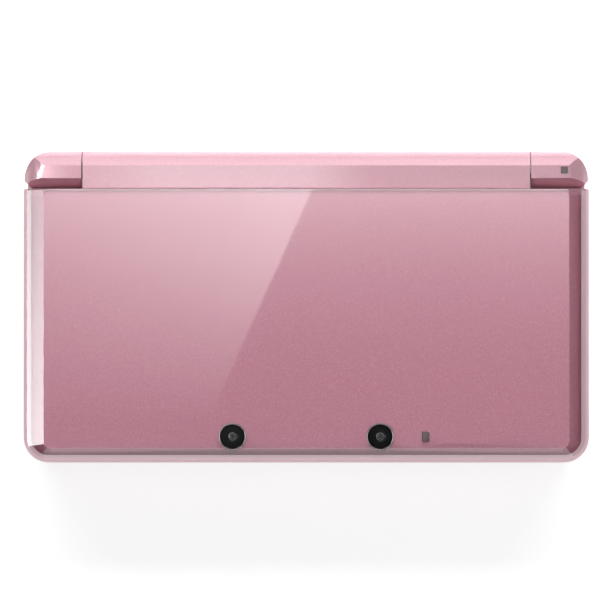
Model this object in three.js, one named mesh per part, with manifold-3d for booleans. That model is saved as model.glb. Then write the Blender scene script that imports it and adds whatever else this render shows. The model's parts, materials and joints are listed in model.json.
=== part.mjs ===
// A clamshell handheld game console, closed, built as it comes apart on a bench.
// Millimetres. X runs left to right, Y from the front edge to the hinge, Z up from the table.
// The origin is the centre of the footprint, on the table.
import * as THREE from "three";
import { mergeVertices } from "three/addons/utils/BufferGeometryUtils.js";
import Module from "manifold-3d";

// Overall plan
const consoleWidth = 134;
const consoleDepth = 74;
const baseInset = 0.6; // the base is this much smaller than the lid on each side
const shoulderProud = 0.2; // the shoulder buttons stand out of the back by this
const frontCornerRadius = 5.9;
const backCornerRadius = 6.6;
const squareCornerRadius = 0.3;

// Heights of the layers, from the table up
const footProud = 0.6;
const batteryCoverHeight = 2.2;
const bottomShellHeight = 4.6;
const topShellHeight = 4.8;
const closedGap = 0.4;
const lidHousingHeight = 5;
const clearCoverHeight = 3.2;
const cameraRingProud = 0.2;

// Walls and clearances
const shellWall = 1.4;
const deckThickness = 1; // the touch screen's glass is as thick
const bottomFloorThickness = 1;
const slipGap = 0.3; // between a moving piece and its opening
const seatGap = 0.1; // between a fixed piece and the pocket it drops into
const cutOverrun = 1; // how far a cutter runs past the face it opens

// Hinge
const hingeRadius = 4.4;
const hingeClearance = 0.35;
const lidHingeGap = 0.2; // between the lid's back and the knuckles
const hingeDrop = 0.9; // the barrel's top lies this far below the lid's top
const knuckleWidth = 13.8; // from the lid's side to the seam beside the middle barrel
const hingeFacetFrontShare = 0.455; // of the radius, in front of the axis
const hingeFacetFrontRiseShare = 0.8;
const hingeFacetBackShare = 0.23; // of the radius, behind the axis
const hingeFacetBackRiseShare = 0.886;
const hingeRearStart = 62; // degrees; a smaller start makes a crisper ridge at the facet's back
const hingeWebRiseShare = 0.75; // height of the lid's web where it leaves the lid
const knuckleBevelWidth = 4.6;
const knuckleBevelDrop = 1.4;
const knuckleTipWidth = 1.6;
const knuckleTipDrop = 1.9;
const knuckleFrontChamfer = 1.8;
const cartridgeRadius = 2.75;
const cartridgeLength = 15;
const hingeShaftRadius = 1.2;
const hingeShaftLength = 15;
const hingeShaftInKnuckle = 8.5;
const hingeRunningGap = 0.1;
const bushingNeckRadius = 2;
const bushingNeckLength = 6;
const bushingBoreRadius = 1.2;

// Lid
const coverTopThickness = 0.8;
const coverRimWidth = 4.8;
const coverFrontRimWidth = 3.5;
const coverBackLip = 0.4;
const coverPocketRadius = 1.6;
const coverSideWall = 2; // what is left of the rim beside the pocket's wide mouth
const coverFrontWall = 1.8;
const coverBevelDrop = 0.8; // how far the bevelled rim falls to its outer edge
const coverEdgeRound = 0.8;
const coverSideHeight = 1.6;
const panelThickness = 0.9;
const panelSkirtWall = 0.6;
const housingInset = 0.5;
const lidRimWidth = 3.2;
const lidFieldDepth = 1.4;
const lidFacePlate = 1.6;
const lidBackWall = 1.4;
const upperLensSideMargin = 18; // from the lid's edges
const upperLensFrontMargin = 4.5;
const upperLensBackMargin = 3.95;
const upperLensThickness = 0.8;
const upperLensRadius = 3;
const upperWindowSideMargin = 9; // from the lens's edges
const upperWindowFrontMargin = 6.3;
const upperWindowBackMargin = 1.3;
const upperDisplaySideMargin = 3; // the display runs on behind the window's frame
const upperDisplayEndMargin = 0.8;
const upperDisplayThickness = 2.6;

// Cameras
const cameraSpacing = 35;
const cameraInset = 6.15; // from the lid's front edge
const cameraRingRadius = 3.2;
const cameraRingWall = 0.25;
const cameraRingLip = 0.08;
const cameraRingBore = cameraRingRadius - cameraRingWall;
const cameraRingDepth = 1.8;
const cameraLensRadius = cameraRingBore - seatGap;
const cameraLensSink = 0.35; // the black disc lies this far below the ring
const cameraLensThickness = 1;
const cameraEyeRadius = 0.95;
const cameraEyeDepth = 0.25;
const cameraModuleDepth = 4.9;
const cameraModuleOverhang = 3.5;
const cameraModuleThickness = 1;
const cameraBarrelInset = 0.15; // from the board's long edges
const cameraModuleLift = 0.6;
const cameraLightPitch = 10.8; // from the right camera
const cameraLightWidth = 1.5;
const cameraLightDepth = 2.2;
const cameraLightLength = 1.6;
const innerCameraInset = 7; // from the lid's front edge
const innerCameraRadius = 1.7;
const innerCameraFlange = 2.3;
const innerCameraFlangeThickness = 0.4;
const innerCameraSink = 0.15;

// Speakers
const speakerInset = 10; // from the lid's side to the speaker's centre
const speakerForward = 1.5; // of the upper lens's centre, towards the hinge
const speakerWidth = 9;
const speakerDepth = 17;
const speakerThickness = 2.6;
const speakerHoleRadius = 0.7;
const speakerHolePitch = 2.6;
const speakerHoleColumns = 2;
const speakerHoleRows = 3;

// Depth slider in the lid's right edge
const depthSliderInset = 29; // from the lid's front edge to the knob's centre at rest
const depthSliderTravel = 10;
const depthSliderLength = 5;
const depthSliderHeight = 1.9;
const depthSliderProud = 0.4;
const depthRailHeight = 2.4;
const depthRailDepth = 1.6;
const depthMouthDepth = 1.2;
const depthRailLift = 1.8; // above the lid's lower rim
const depthBossMargin = 2;

// Base shells
const topShellChamfer = 0.6;
const shellSeamInset = 0.25; // the lower shell steps in under the upper one
const bottomShellTaper = 0.6;
const bottomShellTaperHeight = 1.2;
const batteryCoverInset = 0.3;
const batteryCoverEdgeInset = 2.6;
const batteryCoverEdgeShare = 0.45; // of its height, where the lower edge starts to round in
const batteryCoverWall = 1.6;
const batteryCoverFloor = 1.2;
const batteryBayGap = 0.2;
const troughFront = 0.2; // the hinge trough starts this far in front of the lid's back face
const footRadius = 3.4;
const footSeat = 0.5;
const footSideInset = 17; // from the lid's outline to the foot's centre
const footEndInset = 11;
const coverScrewLeftInset = 32; // clear of the memory card reader
const coverScrewRightInset = 26;
const coverScrewBackInset = 13.1; // from the base's back
const screwHeadRadius = 2;
const screwHeadHeight = 0.9;
const screwShankRadius = 0.9;
const screwShankLength = 3.2;
const screwHeadSink = 0.3;
const screwBossRadius = 2.2;
const screwBossHeight = 3;

// Touch screen, menu keys and the displays' stack
const touchGlassSideMargin = 31.4; // from the base's edges
const touchGlassFrontMargin = 11.9;
const touchGlassBackMargin = 1.75; // from the hinge trough
const touchGlassRadius = 1.5;
const touchLedgeWidth = 1;
const touchLedgeWall = 1.2;
const touchLedgeThickness = 0.8;
const lowerDisplaySideGap = 0.5; // inside the ledge that carries the glass
const lowerDisplayEndGap = 1.5;
const lowerDisplayThickness = 1.6;
const menuBarInset = 1.9; // the three keys together are this much narrower than the glass at each end
const menuKeyGap = 1.6;
const menuKeyDepth = 5.2;
const menuKeySetback = 2.7; // from the glass
const menuKeyRadius = 1.2;
const menuKeyProud = 0.5;
const keyFlangeMargin = 0.7;
const keyFlangeThickness = 0.5;

// Circle pad
const padSideInset = 15.4; // from the base's side
const padBackInset = 13.45; // from the hinge trough
const padRadius = 8.5;
const padTravel = 2.3; // in any direction
const padProud = 1;
const padThickness = 1.8;
const padDishRadius = 7;
const padDishDepth = 0.5;
const padWellFloor = 0.8;
const padWellDepth = 1.2;
const padWellWall = 0.8;
const padStemRadius = 2.2;
const padStemBottomGap = 0.4; // above the board
const padNeckRadius = 5.4;
const padCarriageWidth = 13;
const padCarriageDepth = 15;
const padCarriageThickness = 0.8;
const padSlotGap = 0.1;

// Direction pad
const crossPlaceShare = 0.265; // of the deck from its front edge to the hinge trough
const crossLength = 20.4;
const crossArmWidth = 6.8;
const crossProud = 0.8;
const crossFlangeRadius = 8.6;
const crossFlangeDrop = 1; // below the underside of the deck
const crossFlangeThickness = 0.6;
const crossDishRadius = 2.2;
const crossDishDepth = 0.3;
const crossRockerWidth = 6;
const crossRockerThickness = 0.3;
const crossRockerRise = 0.35; // of the pivot on top of the rocker
const crossPivotRadius = 1;

// Face buttons and power button
const faceSideInset = 15.4; // from the base's side to the middle of the four
const faceBackInset = 17.75; // from the hinge trough
const faceSpread = 8;
const faceRadius = 3.9;
const faceProud = 1;
const faceCrown = 0.3;
const faceCrownWidth = 0.7;
const faceFlangeRadius = 4.7;
const faceFlangeThickness = 0.7;
const faceButtonDepth = 1.2; // below the underside of the deck
const faceMatWidth = 26;
const faceMatThickness = 0.4;
const powerSideInset = 14.4;
const powerFrontInset = 9.4;
const powerRadius = 3;
const powerProud = 0.4;

// Shoulder buttons
const shoulderWidth = 18.1; // from the base's side to the button's inner end
const shoulderWrap = 7.2; // how far it comes forward along the side
const shoulderThickness = 2.2;
const shoulderBottom = 4.7;
const shoulderTop = 9.35;
const shoulderPocketDepth = 3.9;
const shoulderEndGap = 1.3;
const shoulderBossRadius = 1.5;
const shoulderPinEndInset = 1.9; // from the button's inner end
const shoulderPinBackInset = 2.7; // from the base's back
const shoulderPinRadius = 0.8;
const shoulderPinLength = 0.6;
const shoulderPostRadius = 1.7;

// Sliding switches and the memory card door on the base's sides
const switchHeight = 2;
const switchLift = 1.2; // above the bottom shell's floor
const switchProud = 0.35;
const switchBacking = 1.2;
const switchBackingMargin = 0.6;
const volumeInset = 14.4; // from the base's front edge
const volumeLength = 5;
const volumeTravel = 4;
const wirelessInset = 12.4; // from the base's front edge
const wirelessLength = 4.5;
const wirelessTravel = 1.8;
const cardDoorSetback = 0.8; // from the volume slot
const cardDoorLength = 28;
const cardDoorHeight = 3.2;
const cardDoorHingeRadius = 0.55;
const cardDoorLift = 0.15;
const cardDoorPinRadius = 0.35;
const cardDoorPinLength = 0.6;
const cardReaderWidth = 27;
const cardReaderDepth = 26;
const cardReaderHeight = 3.2;
const cardSlotDepth = 24;
const cardSlotHeight = 2.2;
const cardSlotLength = 24.4;

// Back face
const gameSlotWidth = 34.4;
const gameSlotHeight = 4.4;
const gameSlotDepth = 31;
const connectorWall = 0.3;
const connectorEnd = 2;
const stylusSpacing = 3.15; // from the card connector to the stylus's trough
const stylusRadius = 1.9;
const stylusHeadLength = 7; // the part that stays outside the barrel
const stylusGap = 0.15;
const stylusBarrelLength = 43;
const stylusRodRadius = 1.1;
const stylusRodLength = 26; // inside the barrel when collapsed
const stylusHeadRadius = 1.7;
const stylusTipLength = 2.5;
const stylusTipRadius = 0.5;
const stylusTroughWall = 0.8;
const stylusProud = 0.2;
const powerJackWidth = 9;
const powerJackHeight = 2.4;
const powerJackDepth = 9;
const powerJackWall = 0.7;
const powerTongue = 0.8;
const powerTongueShare = 0.65; // of the socket's width and depth
const infraredWidth = 8;
const infraredHeight = 3.4;
const infraredThickness = 1.6;

// Front face
const phoneJackWidth = 7;
const phoneJackHeight = 3.8;
const phoneJackDepth = 12;
const phoneJackBore = 1.75;
const phoneJackCollar = 2.3;
const phoneCollarLength = 1.2;
const statusLightInset = 16.4; // from the base's side to the first light
const statusLightPitch = 5;
const statusLightWidth = 2;
const statusLightHeight = 1;
const statusLightDepth = 2;
const notificationInset = 5.8; // from the lid's side
const notificationForward = 0.1; // of the hinge's axis
const notificationWidth = 1.6;
const notificationDepth = 1.2;

// Inside the base
const boardThickness = 0.8;
const boardLift = 5.1; // above the bottom shell's floor underside
const boardMargin = 1.6;
const batterySideInset = 4.9; // from the base's edges
const batteryFrontInset = 3.9;
const batteryBackInset = 17.1;
const batteryStylusGap = 2.15; // from the stylus's trough
const batteryHeight = 4.8;
const bumperInset = 12; // from the lid's side
const bumperWidth = 5;
const bumperDepth = 1.8;
const bumperSeat = 0.3;
const bumperTouchGap = 0.05;

// Steps on round shapes
const cornerSteps = 8;
const roundSteps = 24;
const fineSteps = 16;
const speakerHoleSteps = 10;
const profileSteps = 6;

// Levels and places that follow from the sizes above
const batteryCoverBottom = footProud;
const bottomShellBottom = batteryCoverBottom + batteryCoverHeight;
const shellSeam = bottomShellBottom + bottomShellHeight;
const deckTop = shellSeam + topShellHeight;
const deckUnderside = deckTop - deckThickness;
const lidBottom = deckTop + closedGap;
const lidField = lidBottom + lidFieldDepth;
const lidCavityFloor = lidField + lidFacePlate;
const housingTop = lidBottom + lidHousingHeight;
const coverTop = housingTop + clearCoverHeight;
const coverUnderside = coverTop - coverTopThickness;
const panelBottom = coverUnderside - panelThickness;
const ringTop = coverTop + cameraRingProud;
const floorTop = bottomShellBottom + bottomFloorThickness;

const lidPlan = { left: -consoleWidth / 2, right: consoleWidth / 2, front: -consoleDepth / 2 };
const basePlan = {
  left: lidPlan.left + baseInset,
  right: lidPlan.right - baseInset,
  front: lidPlan.front + baseInset,
  back: consoleDepth / 2 - shoulderProud,
};
const hingeY = basePlan.back - hingeRadius;
const hingeZ = coverTop - hingeDrop - hingeRadius;
lidPlan.back = hingeY - hingeRadius - lidHingeGap;
const ledgeTop = hingeZ - hingeRadius - hingeClearance;
const ledgeUnderside = ledgeTop - deckThickness;
const troughY = lidPlan.back - troughFront;
const hingeSeamX = consoleWidth / 2 - knuckleWidth;
const knuckleX = hingeSeamX + slipGap / 2;
const barrelX = hingeSeamX - slipGap / 2;

const middle = (low, high) => (low + high) / 2;

// Places in the lid
const upperLensWidth = consoleWidth - 2 * upperLensSideMargin;
const upperLensEnds = [lidPlan.front + upperLensFrontMargin, lidPlan.back - upperLensBackMargin];
const upperWindowWidth = upperLensWidth - 2 * upperWindowSideMargin;
const upperWindowEnds = [upperLensEnds[0] + upperWindowFrontMargin, upperLensEnds[1] - upperWindowBackMargin];
const upperDisplayWidth = upperWindowWidth + 2 * upperDisplaySideMargin;
const cameraY = lidPlan.front + cameraInset;
const cameraLightX = cameraSpacing / 2 + cameraLightPitch;
const innerCameraY = lidPlan.front + innerCameraInset;
const speakerX = lidPlan.right - speakerInset;
const speakerY = middle(...upperLensEnds) + speakerForward;
const depthSliderY = lidPlan.front + depthSliderInset;
const bumperX = lidPlan.right - bumperInset;

// Places in the base
const footX = lidPlan.right - footSideInset;
const footY = consoleDepth / 2 - footEndInset;
const screwPlaces = { left: lidPlan.left + coverScrewLeftInset, right: lidPlan.right - coverScrewRightInset };
const coverScrewY = basePlan.back - coverScrewBackInset;
const touchGlassWidth = 2 * (basePlan.right - touchGlassSideMargin);
const touchGlassEnds = [basePlan.front + touchGlassFrontMargin, troughY - touchGlassBackMargin];
const touchGlassDepth = touchGlassEnds[1] - touchGlassEnds[0];
const touchGlassY = middle(...touchGlassEnds);
const lowerDisplayWidth = touchGlassWidth - 2 * (touchLedgeWidth + lowerDisplaySideGap);
const lowerDisplayDepth = touchGlassDepth - 2 * (touchLedgeWidth + lowerDisplayEndGap);
const menuKeyWidth = (touchGlassWidth - 2 * menuBarInset - 2 * menuKeyGap) / 3;
const menuKeyPitch = menuKeyWidth + menuKeyGap;
const menuKeyY = touchGlassEnds[0] - menuKeySetback - menuKeyDepth / 2;
const padX = basePlan.left + padSideInset;
const padY = troughY - padBackInset;
const crossX = padX;
const crossY = basePlan.front + shellWall + crossPlaceShare * (troughY - basePlan.front - shellWall);
const faceX = basePlan.right - faceSideInset;
const faceY = troughY - faceBackInset;
const powerX = basePlan.right - powerSideInset;
const powerY = basePlan.front + powerFrontInset;
const shoulderInnerX = basePlan.right - shoulderWidth;
const shoulderSideY = basePlan.back - shoulderWrap;
const shoulderPinX = shoulderInnerX + shoulderPinEndInset;
const shoulderPinY = basePlan.back - shoulderPinBackInset;
const volumeY = basePlan.front + volumeInset;
const wirelessY = basePlan.front + wirelessInset;
const cardDoorFront = volumeY + volumeLength / 2 + volumeTravel + 2 * slipGap + cardDoorSetback;
const cardDoorY = cardDoorFront + cardDoorLength / 2;
const connectorHalf = gameSlotWidth / 2 + connectorWall;
const stylusTroughHalf = stylusRadius + stylusGap + stylusTroughWall;
const stylusX = connectorHalf + stylusSpacing + stylusTroughHalf;
const stylusLength = stylusBarrelLength + stylusHeadLength; // with the rod pushed in
const powerJackX = -middle(connectorHalf, shoulderInnerX);
const infraredX = middle(stylusX, shoulderInnerX);
const statusLightX = basePlan.right - statusLightInset;
const notificationX = lidPlan.right - notificationInset;
const notificationY = hingeY - notificationForward;
const batterySides = [stylusX + stylusTroughHalf + batteryStylusGap, basePlan.right - batterySideInset];
const batteryEnds = [basePlan.front + batteryFrontInset, basePlan.back - batteryBackInset];

const wasm = await Module();
wasm.setup();

// Closed three.js geometry to a solid, with shared vertices merged
function solidOf(geometry) {
  const bare = geometry.index ? geometry.toNonIndexed() : geometry.clone();
  bare.deleteAttribute("normal");
  bare.deleteAttribute("uv");
  const merged = mergeVertices(bare);
  const vertProperties = merged.attributes.position.array;
  const kept = [];
  for (let i = 0; i < merged.index.count; i += 3) {
    const [a, b, c] = merged.index.array.slice(i, i + 3);
    if (a !== b && b !== c && c !== a) kept.push(a, b, c);
  }
  const triVerts = new Uint32Array(kept);
  return new wasm.Manifold(new wasm.Mesh({ numProp: 3, vertProperties, triVerts }));
}

function geometryOf(solid) {
  const { vertProperties, triVerts, numProp, numVert } = solid.getMesh();
  const position = new Float32Array(numVert * 3);
  for (let i = 0; i < numVert; i++) {
    position.set(vertProperties.subarray(i * numProp, i * numProp + 3), i * 3);
  }
  return new THREE.BufferGeometry()
    .setAttribute("position", new THREE.BufferAttribute(position, 3))
    .setIndex(new THREE.BufferAttribute(triVerts, 1));
}

const join = (...solids) => solids.reduce((sum, solid) => sum.add(solid));
const cut = (solid, ...cutters) => cutters.reduce((left, cutter) => left.subtract(cutter), solid);

// A block between two corners, given as [low, high] along each axis
function block([x0, x1], [y0, y1], [z0, z1]) {
  const box = new THREE.BoxGeometry(x1 - x0, y1 - y0, z1 - z0);
  return solidOf(box.translate((x0 + x1) / 2, (y0 + y1) / 2, (z0 + z1) / 2));
}

const around = (middle, length) => [middle - length / 2, middle + length / 2];

const alongX = new THREE.Vector3(1, 0, 0);
const alongY = new THREE.Vector3(0, 1, 0);
const alongZ = new THREE.Vector3(0, 0, 1);

// An outline in a plane, drawn out square to it: its own axes become across, up and out
function drawn(points, length, across, up, out) {
  const shape = new THREE.Shape(points.map(([a, b]) => new THREE.Vector2(a, b)));
  const pulled = new THREE.ExtrudeGeometry(shape, { depth: length, bevelEnabled: false });
  return pulled.applyMatrix4(new THREE.Matrix4().makeBasis(across, up, out));
}

// [x, y] points raised between two heights
function prism(points, [z0, z1]) {
  return solidOf(drawn(points, z1 - z0, alongX, alongY, alongZ).translate(0, 0, z0));
}

// [y, z] points drawn out along X
function bar(points, [x0, x1]) {
  return solidOf(drawn(points, x1 - x0, alongY, alongZ, alongX).translate(x0, 0, 0));
}

// [x, z] points drawn out along Y
function wall(points, [y0, y1]) {
  const towardsFront = alongY.clone().negate();
  return solidOf(drawn(points, y1 - y0, alongX, alongZ, towardsFront).translate(0, y1, 0));
}

// Round bars along each axis
function upright(x, y, radius, [z0, z1], steps = roundSteps) {
  const rod = new THREE.CylinderGeometry(radius, radius, z1 - z0, steps).rotateX(Math.PI / 2);
  return solidOf(rod.translate(x, y, (z0 + z1) / 2));
}

function crosswise([x0, x1], y, z, radius, steps = fineSteps) {
  const rod = new THREE.CylinderGeometry(radius, radius, x1 - x0, steps).rotateZ(Math.PI / 2);
  return solidOf(rod.translate((x0 + x1) / 2, y, z));
}

function lengthwise(x, [y0, y1], z, radius, steps = fineSteps) {
  const rod = new THREE.CylinderGeometry(radius, radius, y1 - y0, steps);
  return solidOf(rod.translate(x, (y0 + y1) / 2, z));
}

// A turned solid: [radius, z] points from the axis, round it and back to the axis
function turned(x, y, profile, steps = roundSteps) {
  const points = profile.map(([r, z]) => new THREE.Vector2(r, z));
  const lathed = new THREE.LatheGeometry(points, steps).rotateX(Math.PI / 2);
  return solidOf(lathed.translate(x, y, 0));
}

// A rectangle with rounded corners, in order front left, front right, back right, back left
function plan(edges, radii, inset = 0) {
  const [left, right] = [edges.left + inset, edges.right - inset];
  const [front, back] = [edges.front + inset, edges.back - inset];
  const corners = [[left, front], [right, front], [right, back], [left, back]];
  return corners.flatMap(([x, y], corner) => {
    const radius = Math.max(radii[corner] - inset, squareCornerRadius);
    const centreX = x === left ? x + radius : x - radius;
    const centreY = y === front ? y + radius : y - radius;
    return Array.from({ length: cornerSteps + 1 }, (_, step) => {
      const angle = (Math.PI / 2) * (corner + 2 + step / cornerSteps);
      return [centreX + radius * Math.cos(angle), centreY + radius * Math.sin(angle)];
    });
  });
}

function tablet(x, y, width, depth, radius, levels) {
  const edges = { left: x - width / 2, right: x + width / 2, front: y - depth / 2, back: y + depth / 2 };
  return prism(plan(edges, [radius, radius, radius, radius]), levels);
}

// A closed skin through matching outlines, each at its own height
function loft(sections) {
  const count = sections[0].points.length;
  const position = sections.flatMap(({ points, z }) => points.flatMap(([x, y]) => [x, y, z]));
  const flat = sections[0].points.map(([x, y]) => new THREE.Vector2(x, y));
  const faces = THREE.ShapeUtils.triangulateShape(flat, []);
  const top = (sections.length - 1) * count;
  const index = faces.flatMap(([a, b, c]) => [a, c, b, top + a, top + b, top + c]);
  for (let level = 0; level < sections.length - 1; level++) {
    for (let i = 0; i < count; i++) {
      const [a, b] = [level * count + i, level * count + ((i + 1) % count)];
      index.push(a, b, a + count, b, b + count, a + count);
    }
  }
  const skin = new THREE.BufferGeometry().setIndex(index);
  return solidOf(skin.setAttribute("position", new THREE.Float32BufferAttribute(position, 3)));
}

const lidRadii = [frontCornerRadius, frontCornerRadius, squareCornerRadius, squareCornerRadius];
const baseRadii = [frontCornerRadius, frontCornerRadius, backCornerRadius, backCornerRadius];
const sides = [["left", -1], ["right", 1]];

// Cross-sections of the hinge, as [y, z] points
const hingePoint = (yShare, zShare) => [hingeY + yShare * hingeRadius, hingeZ + zShare * hingeRadius];

// From the facet's front edge over the top and down to the back of the hinge
function hingeBack() {
  const start = THREE.MathUtils.degToRad(hingeRearStart);
  const reach = (1 - hingeFacetBackShare) / (1 - Math.cos(start));
  const quarter = Array.from({ length: profileSteps + 1 }, (_, step) => {
    const angle = start * (1 - step / profileSteps);
    const rise = hingeFacetBackRiseShare * (Math.sin(angle) / Math.sin(start));
    return hingePoint(hingeFacetBackShare + reach * (Math.cos(angle) - Math.cos(start)), rise);
  });
  return [hingePoint(-hingeFacetFrontShare, hingeFacetFrontRiseShare), ...quarter];
}

function knuckleSection(bottom) {
  const [front, back] = [hingeY - hingeRadius, hingeY + hingeRadius];
  return [[front, bottom], [front, hingeZ], ...hingeBack(), [back, bottom]].reverse();
}

function barrelSection() {
  const webFront = lidPlan.back - lidBackWall;
  const under = Math.PI + Math.asin((hingeZ - lidBottom) / hingeRadius);
  const lower = Array.from({ length: 2 * profileSteps }, (_, step) => {
    const angle = -(2 * Math.PI - under) * ((step + 1) / (2 * profileSteps));
    return hingePoint(Math.cos(angle), Math.sin(angle));
  });
  const [webBack, webTop] = [lidPlan.back + seatGap, hingeZ + hingeWebRiseShare * hingeRadius];
  const step = [[webFront, lidBottom], [webFront, housingTop], [webBack, housingTop], [webBack, webTop]];
  return [...step, ...hingeBack().slice(1), ...lower].reverse();
}

// The lid's outline, drawn in from the sides and the front but never from the hinge
function lidOutline(sideInset, frontInset = sideInset, radius = frontCornerRadius - sideInset) {
  const edges = {
    left: lidPlan.left + sideInset,
    right: lidPlan.right - sideInset,
    front: lidPlan.front + frontInset,
    back: lidPlan.back,
  };
  return plan(edges, [radius, radius, squareCornerRadius, squareCornerRadius]);
}

// The outline of the clear cover's pocket, from its wide mouth at rise 0 to its roof at rise 1
function pocketOutline(rise, gap) {
  const between = (mouth, roof) => mouth + rise * (roof - mouth);
  const side = between(coverSideWall, coverRimWidth);
  const front = between(coverFrontWall, coverFrontRimWidth);
  const edges = {
    left: lidPlan.left + side + gap,
    right: lidPlan.right - side - gap,
    front: lidPlan.front + front + gap,
    back: lidPlan.back - coverBackLip - gap,
  };
  const radius = between(frontCornerRadius - coverSideWall, coverPocketRadius) - gap;
  return plan(edges, [radius, radius, coverPocketRadius, coverPocketRadius]);
}

// A tapered block that fills the pocket up to a level, smaller than the pocket by gap
function pocketFilling(gap, bottom, top) {
  const rise = (top - housingTop) / (coverUnderside - housingTop);
  const sections = [
    { points: pocketOutline(0, gap), z: housingTop },
    { points: pocketOutline(rise, gap), z: top },
  ];
  if (bottom < housingTop) sections.unshift({ points: pocketOutline(0, gap), z: bottom });
  return loft(sections);
}

const cameraXs = [-cameraSpacing / 2, cameraSpacing / 2];

// Openings for the two camera rings and the camera light, through a layer of the lid
function cameraCutters(levels) {
  const rings = cameraXs.map((x) => upright(x, cameraY, cameraRingRadius + seatGap, levels));
  const [lightWidth, lightDepth] = [cameraLightWidth + 2 * seatGap, cameraLightDepth + 2 * seatGap];
  const light = block(around(cameraLightX, lightWidth), around(cameraY, lightDepth), levels);
  return [...rings, light];
}

// The clear outer cover: a shallow tray whose bevelled rim shows round the coloured panel
function lidClearCover() {
  const shoulder = coverTop - coverBevelDrop;
  const skin = loft([
    { points: lidOutline(0), z: housingTop },
    { points: lidOutline(0), z: housingTop + coverSideHeight },
    { points: lidOutline(coverEdgeRound / 2), z: shoulder - coverEdgeRound / 2 },
    { points: lidOutline(coverEdgeRound), z: shoulder },
    { points: lidOutline(coverRimWidth, coverFrontRimWidth, coverPocketRadius), z: coverTop },
  ]);
  const pocket = pocketFilling(0, housingTop - cutOverrun, coverUnderside);
  return cut(skin, pocket, ...cameraCutters([coverUnderside - cutOverrun, ringTop]));
}

// The painted sheet under the clear cover, with a sloping skirt that shows through the rim
function lidColourPanel() {
  const tray = pocketFilling(seatGap, housingTop, coverUnderside);
  const hollow = pocketFilling(seatGap + panelSkirtWall, housingTop - cutOverrun, panelBottom);
  const cutters = cameraCutters([panelBottom - cutOverrun, coverUnderside + cutOverrun]);
  return cut(tray, hollow, ...cutters);
}

// A tablet across the middle of the console, between two ends
const rounded = (width, [front, back], radius, levels) =>
  tablet(0, middle(front, back), width, back - front, radius, levels);

const upperLensSheet = (gap, levels) =>
  rounded(upperLensWidth + 2 * gap, [upperLensEnds[0] - gap, upperLensEnds[1] + gap], upperLensRadius, levels);

// The lid's inner case: face plate, rim and the middle hinge barrel in one moulding
function lidHousing() {
  const outer = [
    { points: lidOutline(housingInset + topShellChamfer), z: lidBottom },
    { points: lidOutline(housingInset), z: lidBottom + topShellChamfer },
    { points: lidOutline(housingInset), z: housingTop },
  ];
  const fieldInset = housingInset + lidRimWidth;
  const fieldEdges = {
    left: lidPlan.left + fieldInset,
    right: lidPlan.right - fieldInset,
    front: lidPlan.front + fieldInset,
    back: lidPlan.back - lidRimWidth,
  };
  const fieldRadius = frontCornerRadius - lidRimWidth;
  const field = prism(
    plan(fieldEdges, [fieldRadius, fieldRadius, fieldRadius, fieldRadius]),
    [lidBottom - cutOverrun, lidField],
  );
  const cavityInset = housingInset + shellWall;
  const cavityEdges = {
    left: lidPlan.left + cavityInset,
    right: lidPlan.right - cavityInset,
    front: lidPlan.front + cavityInset,
    back: lidPlan.back - lidBackWall,
  };
  const cavity = prism(
    plan(cavityEdges, lidRadii.map((radius) => radius - cavityInset)),
    [lidCavityFloor, housingTop + cutOverrun],
  );
  const lensPocket = upperLensSheet(seatGap, [lidField - cutOverrun, lidField + upperLensThickness]);
  const window = rounded(
    upperWindowWidth, upperWindowEnds, upperLensRadius / 2, [lidField, lidCavityFloor + cutOverrun],
  );
  const cameraHole = upright(
    0, innerCameraY, innerCameraRadius + seatGap, [lidField, lidCavityFloor + cutOverrun], fineSteps,
  );
  const barrel = bar(barrelSection(), [-barrelX, barrelX]);
  const shell = cut(join(cut(loft(outer), cavity), depthSliderBoss()), field, lensPocket, window, cameraHole);
  const hardware = [...speakerHoles(), ...bumperSeats(), depthSliderSlot()];
  return cut(join(shell, barrel), ...hardware, ...barrelBores());
}

// Bores for the hinge hardware, and the passage between them for the display's cable
function barrelBores() {
  const bore = cartridgeRadius + seatGap;
  const ends = sides.map(([, sign]) => {
    const reach = [sign * barrelX + sign * cutOverrun, sign * (barrelX - cartridgeLength - slipGap)];
    return crosswise(reach.sort((a, b) => a - b), hingeY, hingeZ, bore);
  });
  const passage = [-barrelX + cartridgeLength, barrelX - cartridgeLength];
  return [...ends, crosswise(passage, hingeY, hingeZ, bushingBoreRadius)];
}

function speakerHoles() {
  const levels = [lidField - cutOverrun, lidCavityFloor + cutOverrun];
  const holes = [];
  for (const [, sign] of sides) {
    for (let column = 0; column < speakerHoleColumns; column++) {
      for (let row = 0; row < speakerHoleRows; row++) {
        const x = sign * speakerX + (column - (speakerHoleColumns - 1) / 2) * speakerHolePitch;
        const y = speakerY + (row - (speakerHoleRows - 1) / 2) * speakerHolePitch;
        holes.push(upright(x, y, speakerHoleRadius, levels, speakerHoleSteps));
      }
    }
  }
  return holes;
}

const bumperY = lidPlan.front + housingInset + lidRimWidth / 2;
const bumperShape = (x, gap, levels) =>
  tablet(
    x, bumperY, bumperWidth + 2 * gap, bumperDepth + 2 * gap, bumperDepth / 2 - squareCornerRadius, levels,
  );

const bumperSeats = () =>
  sides.map(
    ([, sign]) => bumperShape(sign * bumperX, seatGap, [lidBottom - cutOverrun, lidBottom + bumperSeat]),
  );

// The depth slider runs in a T-shaped groove in the lid's right edge
const housingRight = lidPlan.right - housingInset;
const depthRailZ = lidBottom + depthRailLift + depthRailHeight / 2;
const depthGroove = [
  depthSliderY - depthSliderTravel - depthSliderLength / 2 - slipGap,
  depthSliderY + depthSliderLength / 2 + slipGap,
];

function depthSliderBoss() {
  const [y0, y1] = depthGroove;
  const inner = housingRight - depthMouthDepth - depthRailDepth - depthBossMargin;
  return block([inner, housingRight], [y0 - depthBossMargin, y1 + depthBossMargin], [lidField, housingTop]);
}

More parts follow.
